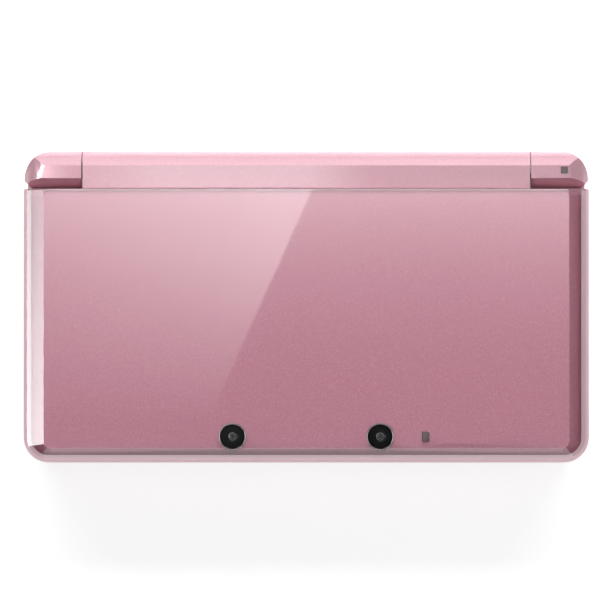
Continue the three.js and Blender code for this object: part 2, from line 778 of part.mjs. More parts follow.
function depthSliderSlot() {
  const rail = [housingRight - depthMouthDepth - depthRailDepth - slipGap, housingRight - depthMouthDepth];
  const channel = block(rail, depthGroove, around(depthRailZ, depthRailHeight + 2 * slipGap));
  const mouth = block(
    [housingRight - depthMouthDepth - slipGap, housingRight + cutOverrun],
    depthGroove, around(depthRailZ, depthSliderHeight + 2 * slipGap),
  );
  return join(channel, mouth);
}

function depthSlider() {
  const length = around(depthSliderY, depthSliderLength);
  const railBack = housingRight - depthMouthDepth - slipGap;
  const rail = block(
    [railBack - depthRailDepth + slipGap, railBack], length, around(depthRailZ, depthRailHeight),
  );
  const knob = block(
    [railBack, housingRight + depthSliderProud], length, around(depthRailZ, depthSliderHeight),
  );
  return join(rail, knob);
}

function upperScreenLens() {
  const levels = [lidField, lidField + upperLensThickness];
  const sheet = upperLensSheet(0, levels);
  const hole = upright(
    0, innerCameraY, innerCameraRadius + seatGap, [lidField - cutOverrun, lidCavityFloor], fineSteps,
  );
  return cut(sheet, hole);
}

const upperDisplay = () =>
  block(
    around(0, upperDisplayWidth),
    [upperWindowEnds[0] - upperDisplayEndMargin, upperWindowEnds[1] + upperDisplayEndMargin],
    [lidCavityFloor, lidCavityFloor + upperDisplayThickness],
  );

// Cameras
function cameraRing(x) {
  const [bottom, lip] = [ringTop - cameraRingDepth, cameraRingLip];
  return turned(x, cameraY, [
    [cameraRingBore, bottom], [cameraRingRadius, bottom], [cameraRingRadius, ringTop - lip],
    [cameraRingRadius - lip, ringTop], [cameraRingBore + lip, ringTop], [cameraRingBore, ringTop - lip],
    [cameraRingBore, bottom],
  ]);
}

function cameraLens(x) {
  const top = ringTop - cameraLensSink;
  return turned(x, cameraY, [
    [0, top - cameraLensThickness], [cameraLensRadius, top - cameraLensThickness], [cameraLensRadius, top],
    [cameraEyeRadius, top - cameraEyeDepth], [cameraEyeRadius / 2, top - cameraEyeDepth / 2],
    [0, top - cameraEyeDepth / 2],
  ]);
}

// One board behind the outer lens pair, with a barrel up to each lens
function outerCameraModule() {
  const bottom = lidCavityFloor + cameraModuleLift;
  const top = bottom + cameraModuleThickness;
  const board = block(
    around(0, cameraSpacing + 2 * cameraModuleOverhang), around(cameraY, cameraModuleDepth), [bottom, top],
  );
  const lensBottom = ringTop - cameraLensSink - cameraLensThickness;
  const barrelRadius = cameraModuleDepth / 2 - cameraBarrelInset;
  const barrels = cameraXs.map((x) => upright(x, cameraY, barrelRadius, [bottom, lensBottom], fineSteps));
  return join(board, ...barrels);
}

const cameraLightWindow = () =>
  block(
    around(cameraLightX, cameraLightWidth), around(cameraY, cameraLightDepth),
    [coverTop - cameraLightLength, coverTop],
  );

function innerCamera() {
  const flangeTop = lidCavityFloor + innerCameraFlangeThickness;
  const barrel = upright(
    0, innerCameraY, innerCameraRadius, [lidField + innerCameraSink, lidCavityFloor], fineSteps,
  );
  return join(barrel, upright(0, innerCameraY, innerCameraFlange, [lidCavityFloor, flangeTop], fineSteps));
}

const speaker = (sign) =>
  block(
    around(sign * speakerX, speakerWidth), around(speakerY, speakerDepth),
    [lidCavityFloor, lidCavityFloor + speakerThickness],
  );

const lidBumper = (sign) => bumperShape(sign * bumperX, 0, [deckTop + bumperTouchGap, lidBottom + bumperSeat]);

// Hinge hardware: a friction cartridge at the right, a hollow bushing for the cable at the left
function hingeCartridge() {
  const reach = [barrelX - cartridgeLength, barrelX];
  const socket = [barrelX - cartridgeLength / 2, barrelX + cutOverrun];
  const bore = crosswise(socket, hingeY, hingeZ, hingeShaftRadius + hingeRunningGap);
  return cut(crosswise(reach, hingeY, hingeZ, cartridgeRadius), bore);
}

function hingeShaft() {
  const end = knuckleX + hingeShaftInKnuckle;
  return crosswise([end - hingeShaftLength, end], hingeY, hingeZ, hingeShaftRadius);
}

function hingeBushing() {
  const sleeve = crosswise([-barrelX, -barrelX + cartridgeLength], hingeY, hingeZ, cartridgeRadius);
  const neck = crosswise([-knuckleX - bushingNeckLength, -barrelX], hingeY, hingeZ, bushingNeckRadius);
  const passage = [-knuckleX - bushingNeckLength - cutOverrun, -barrelX + cartridgeLength + cutOverrun];
  return cut(join(sleeve, neck), crosswise(passage, hingeY, hingeZ, bushingBoreRadius));
}

// The base's outline
function baseOutline(inset) {
  return plan(basePlan, baseRadii, inset);
}

// What the hinge knuckles may fill: bevelled outer ends, a chamfer at the front outer corner
function knuckle(sign) {
  const reach = sign > 0 ? [knuckleX, lidPlan.right] : [lidPlan.left, -knuckleX];
  const section = bar(knuckleSection(ledgeUnderside), reach);
  const crest = hingeZ + hingeFacetBackRiseShare * hingeRadius;
  const end = lidPlan.right;
  const profile = [
    [knuckleX, ledgeUnderside - cutOverrun], [end, ledgeUnderside - cutOverrun],
    [end, crest - knuckleBevelDrop - knuckleTipDrop], [end - knuckleTipWidth, crest - knuckleBevelDrop],
    [end - knuckleBevelWidth, crest], [knuckleX, crest],
  ].map(([x, z]) => [sign * x, z]);
  const ordered = sign > 0 ? profile : profile.reverse();
  const elevation = wall(ordered, [hingeY - hingeRadius - cutOverrun, hingeY + hingeRadius + cutOverrun]);
  const front = hingeY - hingeRadius;
  const edges = [
    [sign * knuckleX, front], [sign * (end - knuckleFrontChamfer), front],
    [sign * end, front + knuckleFrontChamfer], [sign * end, basePlan.back], [sign * knuckleX, basePlan.back],
  ];
  const footprint = prism(sign > 0 ? edges : edges.reverse(), [ledgeUnderside, crest + cutOverrun]);
  const sweep = plan({ ...basePlan, left: lidPlan.left, right: lidPlan.right }, baseRadii);
  const rounded = prism(sweep, [ledgeUnderside, crest + cutOverrun]);
  return section.intersect(elevation).intersect(footprint).intersect(rounded);
}

// The shaft's socket in the right knuckle and the bushing's in the left
function knuckleBores() {
  const right = [knuckleX - cutOverrun, knuckleX + hingeShaftInKnuckle + seatGap];
  const left = [-knuckleX - bushingNeckLength - slipGap, -knuckleX + cutOverrun];
  return [
    crosswise(right, hingeY, hingeZ, hingeShaftRadius + seatGap),
    crosswise(left, hingeY, hingeZ, bushingNeckRadius + seatGap),
  ];
}

// Base: openings that both shells share
const boardTop = bottomShellBottom + boardLift + boardThickness;
const statusLightXs = [statusLightX, statusLightX + statusLightPitch];
const statusLightZ = boardTop + statusLightHeight / 2 + seatGap;
const phoneJackZ = floorTop + phoneJackHeight / 2;
const stylusZ = floorTop + stylusRadius + stylusGap;
const gameSlotLevels = [floorTop + connectorWall, floorTop + connectorWall + gameSlotHeight];
const backWall = [basePlan.back - shellWall - cutOverrun, basePlan.back + cutOverrun];
const frontWall = [basePlan.front - cutOverrun, basePlan.front + shellWall + cutOverrun];
const infraredZ = shellSeam - infraredHeight / 4;
const powerJackLevels = [floorTop + powerJackWall, floorTop + powerJackWall + powerJackHeight];

// The band round a back corner that a shoulder button moves in
function shoulderSpace(sign, outset, inset, innerX, sideY, levels) {
  const outer = prism(baseOutline(-outset), levels);
  const inner = prism(baseOutline(inset), [levels[0] - cutOverrun, levels[1] + cutOverrun]);
  const reach = sign > 0 ? [innerX, basePlan.right + cutOverrun] : [basePlan.left - cutOverrun, -innerX];
  return cut(outer, inner).intersect(block(reach, [sideY, basePlan.back + cutOverrun], levels));
}

const infraredBlock = (reach, gap) =>
  block(around(infraredX, infraredWidth + 2 * gap), reach, around(infraredZ, infraredHeight + 2 * gap));

function sharedOpenings() {
  const shoulders = sides.map(([, sign]) =>
    shoulderSpace(
      sign, cutOverrun, shoulderPocketDepth, shoulderInnerX - slipGap, shoulderSideY - shoulderEndGap,
      [shoulderBottom - slipGap, shoulderTop + slipGap],
    ),
  );
  return [
    ...shoulders,
    block(around(0, gameSlotWidth), backWall, gameSlotLevels),
    lengthwise(stylusX, backWall, stylusZ, stylusRadius + stylusGap),
    block(around(powerJackX, powerJackWidth), backWall, powerJackLevels),
    infraredBlock(backWall, seatGap),
    lengthwise(0, frontWall, phoneJackZ, phoneJackCollar + seatGap),
  ];
}

// Buttons and keys pass through the deck with the same gap all round
const faceButtonPlaces = {
  right: [faceX + faceSpread, faceY],
  bottom: [faceX, faceY - faceSpread],
  top: [faceX, faceY + faceSpread],
  left: [faceX - faceSpread, faceY],
};
const menuKeyXs = { left: -menuKeyPitch, middle: 0, right: menuKeyPitch };
const throughDeck = [deckUnderside - cutOverrun, deckTop + cutOverrun];
const padWellRadius = padRadius + padTravel + slipGap;
const padWellBottom = deckTop - padWellDepth;

function crossShape(gap, levels) {
  const [long, wide] = [crossLength + 2 * gap, crossArmWidth + 2 * gap];
  return join(
    block(around(crossX, long), around(crossY, wide), levels),
    block(around(crossX, wide), around(crossY, long), levels),
  );
}

function deckOpenings() {
  const faces = Object.values(faceButtonPlaces).map(
    ([x, y]) => upright(x, y, faceRadius + slipGap, throughDeck),
  );
  const keys = Object.values(menuKeyXs).map((x) =>
    tablet(x, menuKeyY, menuKeyWidth + 2 * slipGap, menuKeyDepth + 2 * slipGap, menuKeyRadius, throughDeck),
  );
  const glass = tablet(
    0, touchGlassY, touchGlassWidth + 2 * seatGap, touchGlassDepth + 2 * seatGap, touchGlassRadius,
    [deckUnderside, deckTop + cutOverrun],
  );
  const display = tablet(
    0, touchGlassY, touchGlassWidth - 2 * touchLedgeWidth, touchGlassDepth - 2 * touchLedgeWidth,
    squareCornerRadius, throughDeck,
  );
  const well = upright(padX, padY, padWellRadius, [padWellBottom, deckTop + cutOverrun]);
  const neck = upright(padX, padY, padNeckRadius, [padWellBottom - padWellFloor - cutOverrun, deckTop]);
  const power = upright(powerX, powerY, powerRadius + slipGap, throughDeck);
  return [...faces, ...keys, glass, display, well, neck, power, crossShape(slipGap, throughDeck)];
}

function baseTopShell() {
  const outer = loft([
    { points: baseOutline(0), z: shellSeam },
    { points: baseOutline(0), z: deckTop - topShellChamfer },
    { points: baseOutline(topShellChamfer), z: deckTop },
  ]);
  const trough = block(
    [-knuckleX, knuckleX], [troughY, basePlan.back + cutOverrun], [ledgeTop, deckTop + cutOverrun],
  );
  const inside = { ...basePlan, back: troughY };
  const cavity = prism(
    plan(inside, [frontCornerRadius, frontCornerRadius, shellWall, shellWall], shellWall),
    [shellSeam - cutOverrun, deckUnderside],
  );
  const backCavity = prism(baseOutline(shellWall), [shellSeam - cutOverrun, ledgeUnderside])
    .intersect(block([basePlan.left, basePlan.right], [hingeY - 2 * hingeRadius, basePlan.back], [0, deckTop]));
  const ledge = tablet(
    0, touchGlassY, touchGlassWidth + 2 * touchLedgeWall, touchGlassDepth + 2 * touchLedgeWall,
    touchGlassRadius,
    [deckUnderside - touchLedgeThickness, deckUnderside],
  );
  const well = upright(padX, padY, padWellRadius + padWellWall, [padWellBottom - padWellFloor, deckUnderside]);
  const shell = join(cut(outer, trough, cavity, backCavity), ledge, well, knuckle(-1), knuckle(1));
  const pins = sides.map(([, sign]) =>
    upright(
      sign * shoulderPinX, shoulderPinY, shoulderPinRadius + seatGap,
      [shoulderTop, shoulderTop + shoulderPinLength + seatGap], fineSteps,
    ),
  );
  const lights = statusLightXs.map((x) =>
    block(
      around(x, statusLightWidth + 2 * seatGap), frontWall,
      around(statusLightZ, statusLightHeight + 2 * seatGap),
    ),
  );
  const cutters = [...deckOpenings(), ...sharedOpenings(), ...knuckleBores(), ...pins, ...lights];
  return cut(shell, ...cutters, notificationBlock(seatGap));
}

// A guide on the board's front edge that carries two lights to the front face
function statusLight() {
  const levels = around(statusLightZ, statusLightHeight);
  const inner = basePlan.front + shellWall;
  const prongs = statusLightXs.map((x) =>
    block(around(x, statusLightWidth), [basePlan.front, inner + cutOverrun], levels),
  );
  const reach = [statusLightX - statusLightWidth / 2, statusLightX + statusLightPitch + statusLightWidth / 2];
  return join(block(reach, [inner + seatGap, inner + statusLightDepth], levels), ...prongs);
}

function notificationBlock(gap) {
  const size = notificationWidth + 2 * gap;
  const crest = hingeZ + hingeFacetBackRiseShare * hingeRadius;
  return block(
    around(notificationX, size), around(notificationY, size),
    [crest - notificationDepth - gap, crest + cutOverrun],
  );
}

const notificationLight = () => notificationBlock(0).intersect(knuckle(1));

// Base, lower half
const bottomInset = shellSeamInset + bottomShellTaper;
const wallRight = basePlan.right - shellSeamInset;
const innerRight = wallRight - shellWall;
const innerBack = basePlan.back - shellSeamInset - shellWall;
const switchLevels = [floorTop + switchLift, floorTop + switchLift + switchHeight];
const cardDoorHinge = [-wallRight + cardDoorHingeRadius, floorTop + cardDoorLift + cardDoorHingeRadius];

// A slot in the base's side for a sliding switch
const switchSlot = (sign, y, length) =>
  block(
    sign > 0
      ? [innerRight - cutOverrun, wallRight + cutOverrun]
      : [-wallRight - cutOverrun, -innerRight + cutOverrun],
    around(y, length + 2 * slipGap), [switchLevels[0] - slipGap, switchLevels[1] + slipGap],
  );

function switchKnob(sign, y, length) {
  const across = (near, far) => (sign > 0 ? [near, far] : [-far, -near]);
  const backing = innerRight - seatGap;
  const [bottom, top] = switchLevels;
  return join(
    block(across(backing - cutOverrun / 2, wallRight + switchProud), around(y, length), switchLevels),
    block(
      across(backing - switchBacking, backing), around(y, length + 2 * switchBackingMargin),
      [bottom - switchBackingMargin, top + switchBackingMargin],
    ),
  );
}

function cardDoor() {
  const [x, z] = cardDoorHinge;
  const length = around(cardDoorY, cardDoorLength);
  const pins = [length[0] - cardDoorPinLength, length[1] + cardDoorPinLength];
  const flap = block(
    [x - cardDoorHingeRadius, x + cardDoorHingeRadius], length, [z, z - cardDoorHingeRadius + cardDoorHeight],
  );
  return join(lengthwise(x, length, z, cardDoorHingeRadius), lengthwise(x, pins, z, cardDoorPinRadius), flap);
}

function cardDoorCutters() {
  const [x, z] = cardDoorHinge;
  const levels = [floorTop, z - cardDoorHingeRadius + cardDoorHeight + cardDoorLift];
  const opening = block(
    [-wallRight - cutOverrun, -innerRight + cutOverrun],
    around(cardDoorY, cardDoorLength + 2 * slipGap), levels,
  );
  const pins = lengthwise(
    x, around(cardDoorY, cardDoorLength + 2 * cardDoorPinLength + 2 * seatGap), z, cardDoorPinRadius + seatGap,
  );
  return [opening, pins];
}

const batteryBay = (gap, levels) =>
  block([batterySides[0] - gap, batterySides[1] + gap], [batteryEnds[0] - gap, batteryEnds[1] + gap], levels);

const screwBores = () =>
  Object.values(screwPlaces).map((x) =>
    upright(x, coverScrewY, screwShankRadius + seatGap, [0, screwTop + seatGap], fineSteps),
  );

const screwHeadBottom = batteryCoverBottom + screwHeadSink;
const screwTop = screwHeadBottom + screwHeadHeight + screwShankLength;

function baseBottomShell() {
  const outer = loft([
    { points: baseOutline(bottomInset), z: bottomShellBottom },
    { points: baseOutline(shellSeamInset), z: bottomShellBottom + bottomShellTaperHeight },
    { points: baseOutline(shellSeamInset), z: shellSeam },
  ]);
  const cavity = prism(baseOutline(shellSeamInset + shellWall), [floorTop, shellSeam + cutOverrun]);
  const bosses = Object.values(screwPlaces).map((x) =>
    upright(
      x, coverScrewY, screwBossRadius, [bottomShellBottom, bottomShellBottom + screwBossHeight], fineSteps,
    ),
  );
  const posts = sides.map(([, sign]) =>
    upright(
      sign * shoulderPinX, shoulderPinY, shoulderPostRadius,
      [bottomShellBottom, shoulderBottom - slipGap], fineSteps,
    ),
  );
  const pinHoles = sides.map(([, sign]) =>
    upright(
      sign * shoulderPinX, shoulderPinY, shoulderPinRadius + seatGap,
      [shoulderBottom - shoulderPinLength - seatGap, shoulderBottom], fineSteps,
    ),
  );
  const trough = block(
    around(stylusX, 2 * stylusTroughHalf), [stylusBack - stylusLength, innerBack + cutOverrun / 2],
    [bottomShellBottom, shellSeam],
  );
  const bore = lengthwise(
    stylusX, [stylusBack - stylusLength - cutOverrun, stylusBack + cutOverrun], stylusZ,
    stylusRadius + stylusGap,
  );
  const shell = join(cut(outer, cavity, ...sharedOpenings()), ...bosses, ...posts, trough);
  return cut(
    shell, bore, ...pinHoles, ...screwBores(), ...cardDoorCutters(),
    batteryBay(batteryBayGap, [bottomShellBottom - cutOverrun, floorTop + cutOverrun]),
    switchSlot(-1, volumeY, volumeLength + 2 * volumeTravel),
    switchSlot(1, wirelessY + wirelessTravel / 2, wirelessLength + wirelessTravel),
  );
}

const footPlaces = {
  front_left: [-footX, -footY],
  front_right: [footX, -footY],
  back_left: [-footX, footY],
  back_right: [footX, footY],
};

function batteryCover() {
  const rim = bottomInset + batteryCoverInset;
  const round = batteryCoverEdgeShare * batteryCoverHeight;
  const outer = loft([
    { points: baseOutline(rim + batteryCoverEdgeInset), z: batteryCoverBottom },
    {
      points: baseOutline(rim + batteryCoverEdgeInset * batteryCoverEdgeShare),
      z: batteryCoverBottom + round / 2,
    },
    { points: baseOutline(rim), z: batteryCoverBottom + 2 * round },
    { points: baseOutline(rim), z: bottomShellBottom },
  ]);
  const pocket = prism(
    baseOutline(rim + batteryCoverWall),
    [batteryCoverBottom + batteryCoverFloor, bottomShellBottom + cutOverrun],
  );
  const bosses = Object.values(screwPlaces).map((x) =>
    upright(
      x, coverScrewY, screwHeadRadius + batteryCoverFloor, [screwHeadBottom, bottomShellBottom], fineSteps,
    ),
  );
  const heads = Object.values(screwPlaces).map((x) =>
    upright(x, coverScrewY, screwHeadRadius + seatGap, [0, screwHeadBottom + screwHeadHeight], fineSteps),
  );
  const feet = Object.values(footPlaces).map(([x, y]) =>
    upright(x, y, footRadius + seatGap, [0, batteryCoverBottom + footSeat]),
  );
  return cut(join(cut(outer, pocket), ...bosses), ...heads, ...feet, ...screwBores());
}

const foot = ([x, y]) =>
  turned(x, y, [
    [0, 0], [footRadius - footSeat, 0], [footRadius, footSeat], [footRadius, footProud + footSeat],
    [0, footProud + footSeat],
  ]);

function coverScrew(x) {
  const shank = upright(x, coverScrewY, screwShankRadius, [screwHeadBottom, screwTop], fineSteps);
  const headLevels = [screwHeadBottom, screwHeadBottom + screwHeadHeight];
  const head = upright(x, coverScrewY, screwHeadRadius, headLevels, fineSteps);
  const arm = around(0, screwHeadRadius);
  const drive = around(0, screwHeadRadius / 4);
  const depth = [screwHeadBottom - cutOverrun, screwHeadBottom + screwHeadHeight / 2];
  const move = (pair, by) => pair.map((value) => value + by);
  return cut(
    join(head, shank),
    block(move(arm, x), move(drive, coverScrewY), depth),
    block(move(drive, x), move(arm, coverScrewY), depth),
  );
}

// Inside the base
function mainBoard() {
  const edges = {
    left: basePlan.left + shellWall + boardMargin,
    right: basePlan.right - shellWall - boardMargin,
    front: basePlan.front + shellWall + boardMargin,
    back: boardBack,
  };
  const levels = [boardTop - boardThickness, boardTop];
  const sheet = prism(
    plan(edges, [frontCornerRadius, frontCornerRadius, shellWall, shellWall], boardMargin / 2), levels,
  );
  const notch = block(
    around(0, gameSlotWidth + 2 * connectorWall + 2 * slipGap),
    [connectorFront - slipGap, basePlan.back], [bottomShellBottom, deckUnderside],
  );
  return cut(sheet, notch);
}

const boardBack = troughY - boardMargin;
const connectorFront = innerBack - seatGap - gameSlotDepth;

const batteryPack = () => {
  const bottom = batteryCoverBottom + batteryCoverFloor;
  return batteryBay(0, [bottom, bottom + batteryHeight]);
};

const touchGlass = () =>
  tablet(0, touchGlassY, touchGlassWidth, touchGlassDepth, touchGlassRadius, [deckUnderside, deckTop]);

const lowerDisplay = () =>
  block(
    around(0, lowerDisplayWidth), around(touchGlassY, lowerDisplayDepth),
    [deckUnderside - lowerDisplayThickness, deckUnderside],
  );

const faceMat = () =>
  tablet(faceX, faceY, faceMatWidth, faceMatWidth, faceRadius, [boardTop, boardTop + faceMatThickness]);

// Sockets: a body behind the wall with its opening towards the outside
function gameCardConnector() {
  const [bottom, top] = gameSlotLevels;
  const reach = [connectorFront, innerBack - seatGap];
  const cage = block(
    around(0, gameSlotWidth + 2 * connectorWall), reach, [bottom - connectorWall, top + connectorWall],
  );
  const slot = block(around(0, gameSlotWidth), [connectorFront + connectorEnd, basePlan.back], gameSlotLevels);
  return cut(cage, slot);
}

function powerJack() {
  const [bottom, top] = powerJackLevels;
  const reach = [innerBack - seatGap - powerJackDepth, innerBack - seatGap];
  const body = block(
    around(powerJackX, powerJackWidth + 2 * powerJackWall), reach,
    [bottom - powerJackWall, top + powerJackWall],
  );
  const socket = block(
    around(powerJackX, powerJackWidth), [reach[0] + powerJackWall, basePlan.back], powerJackLevels,
  );
  const tongue = block(
    around(powerJackX, powerTongueShare * powerJackWidth),
    [reach[0], reach[0] + powerTongueShare * powerJackDepth], around((bottom + top) / 2, powerTongue),
  );
  return join(cut(body, socket), tongue);
}

function phoneJack() {
  const front = basePlan.front + shellSeamInset + shellWall + seatGap;
  const body = block(
    around(0, phoneJackWidth), [front, front + phoneJackDepth], around(phoneJackZ, phoneJackHeight),
  );
  const collar = lengthwise(0, [front - phoneCollarLength, front + seatGap], phoneJackZ, phoneJackCollar);
  const bore = lengthwise(
    0, [front - 2 * phoneCollarLength, front + phoneJackDepth - shellWall], phoneJackZ, phoneJackBore,
  );
  return cut(join(body, collar), bore);
}

function memoryCardReader() {
  const left = -innerRight + seatGap;
  const z = cardDoorHinge[1] - cardDoorHingeRadius + cardReaderHeight / 2;
  const body = block(
    [left, left + cardReaderDepth], around(cardDoorY, cardReaderWidth), around(z, cardReaderHeight),
  );
  const slot = block(
    [left - cutOverrun, left + cardSlotDepth], around(cardDoorY, cardSlotLength), around(z, cardSlotHeight),
  );
  return cut(body, slot);
}

const infraredWindow = () => infraredBlock([basePlan.back - infraredThickness, basePlan.back - seatGap], 0);

// Controls on the deck
function circlePadCarriage() {
  const top = padWellBottom - padWellFloor - slipGap;
  const levels = [top - padCarriageThickness, top];
  const slot = tablet(
    padX, padY, 2 * (padStemRadius + padSlotGap), 2 * (padStemRadius + padTravel + padSlotGap),
    padStemRadius, [levels[0] - cutOverrun, top + cutOverrun],
  );
  return cut(tablet(padX, padY, padCarriageWidth, padCarriageDepth, shellWall, levels), slot);
}

function circlePad() {
  const top = deckTop + padProud;
  const bottom = top - padThickness;
  return turned(padX, padY, [
    [0, boardTop + padStemBottomGap], [padStemRadius, boardTop + padStemBottomGap], [padStemRadius, bottom],
    [padRadius, bottom], [padRadius, top - padDishDepth], [padRadius - padDishDepth, top],
    [padDishRadius, top], [padDishRadius - padDishDepth, top - padDishDepth], [0, top - padDishDepth],
  ]);
}

const crossPivotTop = deckUnderside - crossFlangeDrop - crossFlangeThickness;

function directionPad() {
  const top = deckTop + crossProud;
  const flange = upright(
    crossX, crossY, crossFlangeRadius, [crossPivotTop, crossPivotTop + crossFlangeThickness],
  );
  const cross = crossShape(0, [crossPivotTop, top]);
  const dish = turned(crossX, crossY, [
    [0, top - crossDishDepth], [crossDishRadius / 2, top - crossDishDepth], [crossDishRadius, top],
    [crossDishRadius, top + cutOverrun], [0, top + cutOverrun],
  ]);
  return cut(join(flange, cross), dish);
}

function directionPadRocker() {
  const plateTop = crossPivotTop - crossRockerRise;
  const plate = block(
    around(crossX, crossRockerWidth), around(crossY, crossRockerWidth),
    [plateTop - crossRockerThickness, plateTop],
  );
  const pivot = turned(crossX, crossY, [
    [0, plateTop - seatGap], [crossPivotRadius, plateTop - seatGap], [crossPivotRadius, plateTop],
    [0, crossPivotTop],
  ]);
  return join(plate, pivot);
}

// A round button: a stem with a rounded crown and a flange that keeps it under the deck
function roundButton([x, y], radius, proud, flangeRadius) {
  const top = deckTop + proud;
  const bottom = deckUnderside - faceButtonDepth;
  const flangeTop = deckUnderside - seatGap;
  return turned(x, y, [
    [0, bottom], [radius, bottom], [radius, flangeTop - faceFlangeThickness],
    [flangeRadius, flangeTop - faceFlangeThickness], [flangeRadius, flangeTop], [radius, flangeTop],
    [radius, top - faceCrown], [radius - faceCrownWidth, top], [0, top],
  ]);
}

const faceButton = (place) => roundButton(place, faceRadius, faceProud, faceFlangeRadius);

const powerButton = () => roundButton([powerX, powerY], powerRadius, powerProud, powerRadius + keyFlangeMargin);

function menuKey(x) {
  const flangeTop = deckUnderside - seatGap;
  const flangeWidth = menuKeyWidth + 2 * keyFlangeMargin;
  const flangeDepth = menuKeyDepth + 2 * keyFlangeMargin;
  return join(
    tablet(x, menuKeyY, flangeWidth, flangeDepth, menuKeyRadius, [flangeTop - keyFlangeThickness, flangeTop]),
    tablet(x, menuKeyY, menuKeyWidth, menuKeyDepth, menuKeyRadius, [flangeTop, deckTop + menuKeyProud]),
  );
}

// A shoulder button wraps the back corner and swings on a pin near its inner end
function shoulderButton(sign) {
  const levels = [shoulderBottom, shoulderTop];
  const depth = shoulderThickness - shoulderProud;
  const wrap = shoulderSpace(sign, shoulderProud, depth, shoulderInnerX, shoulderSideY, levels);
  const boss = upright(sign * shoulderPinX, shoulderPinY, shoulderBossRadius, levels, fineSteps);
  const pinLevels = [shoulderBottom - shoulderPinLength, shoulderTop + shoulderPinLength];
  const pin = upright(sign * shoulderPinX, shoulderPinY, shoulderPinRadius, pinLevels, fineSteps);
  return join(wrap, boss, pin);
}

// Stylus: a hollow barrel with a sliding rod that carries the tip
const stylusBack = basePlan.back + stylusProud;
const stylusBarrelFront = stylusBack - stylusBarrelLength;

function stylusBarrel() {
  const tube = lengthwise(stylusX, [stylusBarrelFront, stylusBack], stylusZ, stylusRadius);
  const bore = [stylusBarrelFront - cutOverrun, stylusBarrelFront + stylusRodLength + seatGap];
  return cut(tube, lengthwise(stylusX, bore, stylusZ, stylusRodRadius + seatGap));
}

function stylusRod() {
  const front = stylusBack - stylusLength;
  const profile = [
    [0, 0], [stylusTipRadius, 0], [stylusHeadRadius, stylusTipLength],
    [stylusHeadRadius, stylusLength - stylusBarrelLength - seatGap],
    [stylusRodRadius, stylusLength - stylusBarrelLength - seatGap],
    [stylusRodRadius, stylusLength - stylusBarrelLength + stylusRodLength],
    [0, stylusLength - stylusBarrelLength + stylusRodLength],
  ];
  const points = profile.map(([r, y]) => new THREE.Vector2(r, y));
  return solidOf(new THREE.LatheGeometry(points, fineSteps).translate(stylusX, front, stylusZ));
}

// Finishes, as [colour, roughness, metalness]
const pearlPink = [0xd9aab6, 0.38, 0.25];
const clearPlastic = [0xe6d9dd, 0.08, 0];
const innerBlack = [0x17171a, 0.25, 0];
const mattBlack = [0x1c1c1f, 0.7, 0];
const darkScreen = [0x0c0d10, 0.15, 0];
const silver = [0xc9cacd, 0.3, 0.9];
const steel = [0xa7a9ad, 0.35, 0.9];
const greyRubber = [0x5c5c60, 0.85, 0];
const whitePlastic = [0xe4e4e6, 0.4, 0];
const boardGreen = [0x2f5a43, 0.6, 0];

const nodes = [];

function node(name, [color, roughness, metalness], solid) {
  const mesh = new THREE.Mesh(
    geometryOf(solid),
    new THREE.MeshStandardMaterial({ color, roughness, metalness, flatShading: true }),
  );
  mesh.name = name;
  nodes.push(mesh);
}

node("lid_clear_cover", clearPlastic, lidClearCover());
node("lid_colour_panel", pearlPink, lidColourPanel());
node("lid_housing", pearlPink, lidHousing());
node("upper_screen_lens", innerBlack, upperScreenLens());
node("upper_display", darkScreen, upperDisplay());
for (const [side, sign] of sides) {
  node(`camera_ring_${side}`, silver, cameraRing(sign * cameraXs[1]));
  node(`camera_lens_${side}`, innerBlack, cameraLens(sign * cameraXs[1]));
  node(`speaker_${side}`, mattBlack, speaker(sign));
  node(`lid_bumper_${side}`, greyRubber, lidBumper(sign));
  node(`${side}_shoulder_button`, whitePlastic, shoulderButton(sign));
  node(`cover_screw_${side}`, steel, coverScrew(screwPlaces[side]));
}
node("outer_camera_module", mattBlack, outerCameraModule());
node("camera_light_window", whitePlastic, cameraLightWindow());
node("inner_camera", innerBlack, innerCamera());
node("hinge_cartridge", steel, hingeCartridge());
node("hinge_bushing", mattBlack, hingeBushing());
node("hinge_shaft", steel, hingeShaft());
node("depth_slider", whitePlastic, depthSlider());
node("base_top_shell", pearlPink, baseTopShell());
node("base_bottom_shell", mattBlack, baseBottomShell());
node("battery_cover", pearlPink, batteryCover());
for (const [place, xy] of Object.entries(footPlaces)) node(`foot_${place}`, greyRubber, foot(xy));
node("battery_pack", mattBlack, batteryPack());
node("main_board", boardGreen, mainBoard());
node("touch_screen_glass", darkScreen, touchGlass());
node("lower_display", mattBlack, lowerDisplay());
node("face_button_mat", greyRubber, faceMat());
node("game_card_connector", steel, gameCardConnector());
node("power_jack", mattBlack, powerJack());
node("headphone_jack", mattBlack, phoneJack());
node("memory_card_reader", steel, memoryCardReader());
node("memory_card_door", mattBlack, cardDoor());
node("infrared_window", innerBlack, infraredWindow());
node("notification_light", whitePlastic, notificationLight());
node("status_light_guide", whitePlastic, statusLight());
node("circle_pad_carriage", mattBlack, circlePadCarriage());
node("circle_pad", whitePlastic, circlePad());
node("direction_pad_rocker", mattBlack, directionPadRocker());
node("direction_pad", mattBlack, directionPad());
for (const [place, xy] of Object.entries(faceButtonPlaces)) {
  node(`face_button_${place}`, whitePlastic, faceButton(xy));
}
for (const [place, x] of Object.entries(menuKeyXs)) node(`menu_key_${place}`, mattBlack, menuKey(x));
node("power_button", mattBlack, powerButton());
node("volume_slider", whitePlastic, switchKnob(-1, volumeY, volumeLength));
node("wireless_switch", whitePlastic, switchKnob(1, wirelessY, wirelessLength));
node("stylus_barrel", mattBlack, stylusBarrel());
node("stylus_rod", mattBlack, stylusRod());

export default new THREE.Group().add(...nodes);
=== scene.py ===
"""Clamshell handheld game console, closed and seen from above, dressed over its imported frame.

Metres. X runs left to right, Y from the front edge to the hinge, Z up from the table.
"""
import json
import math

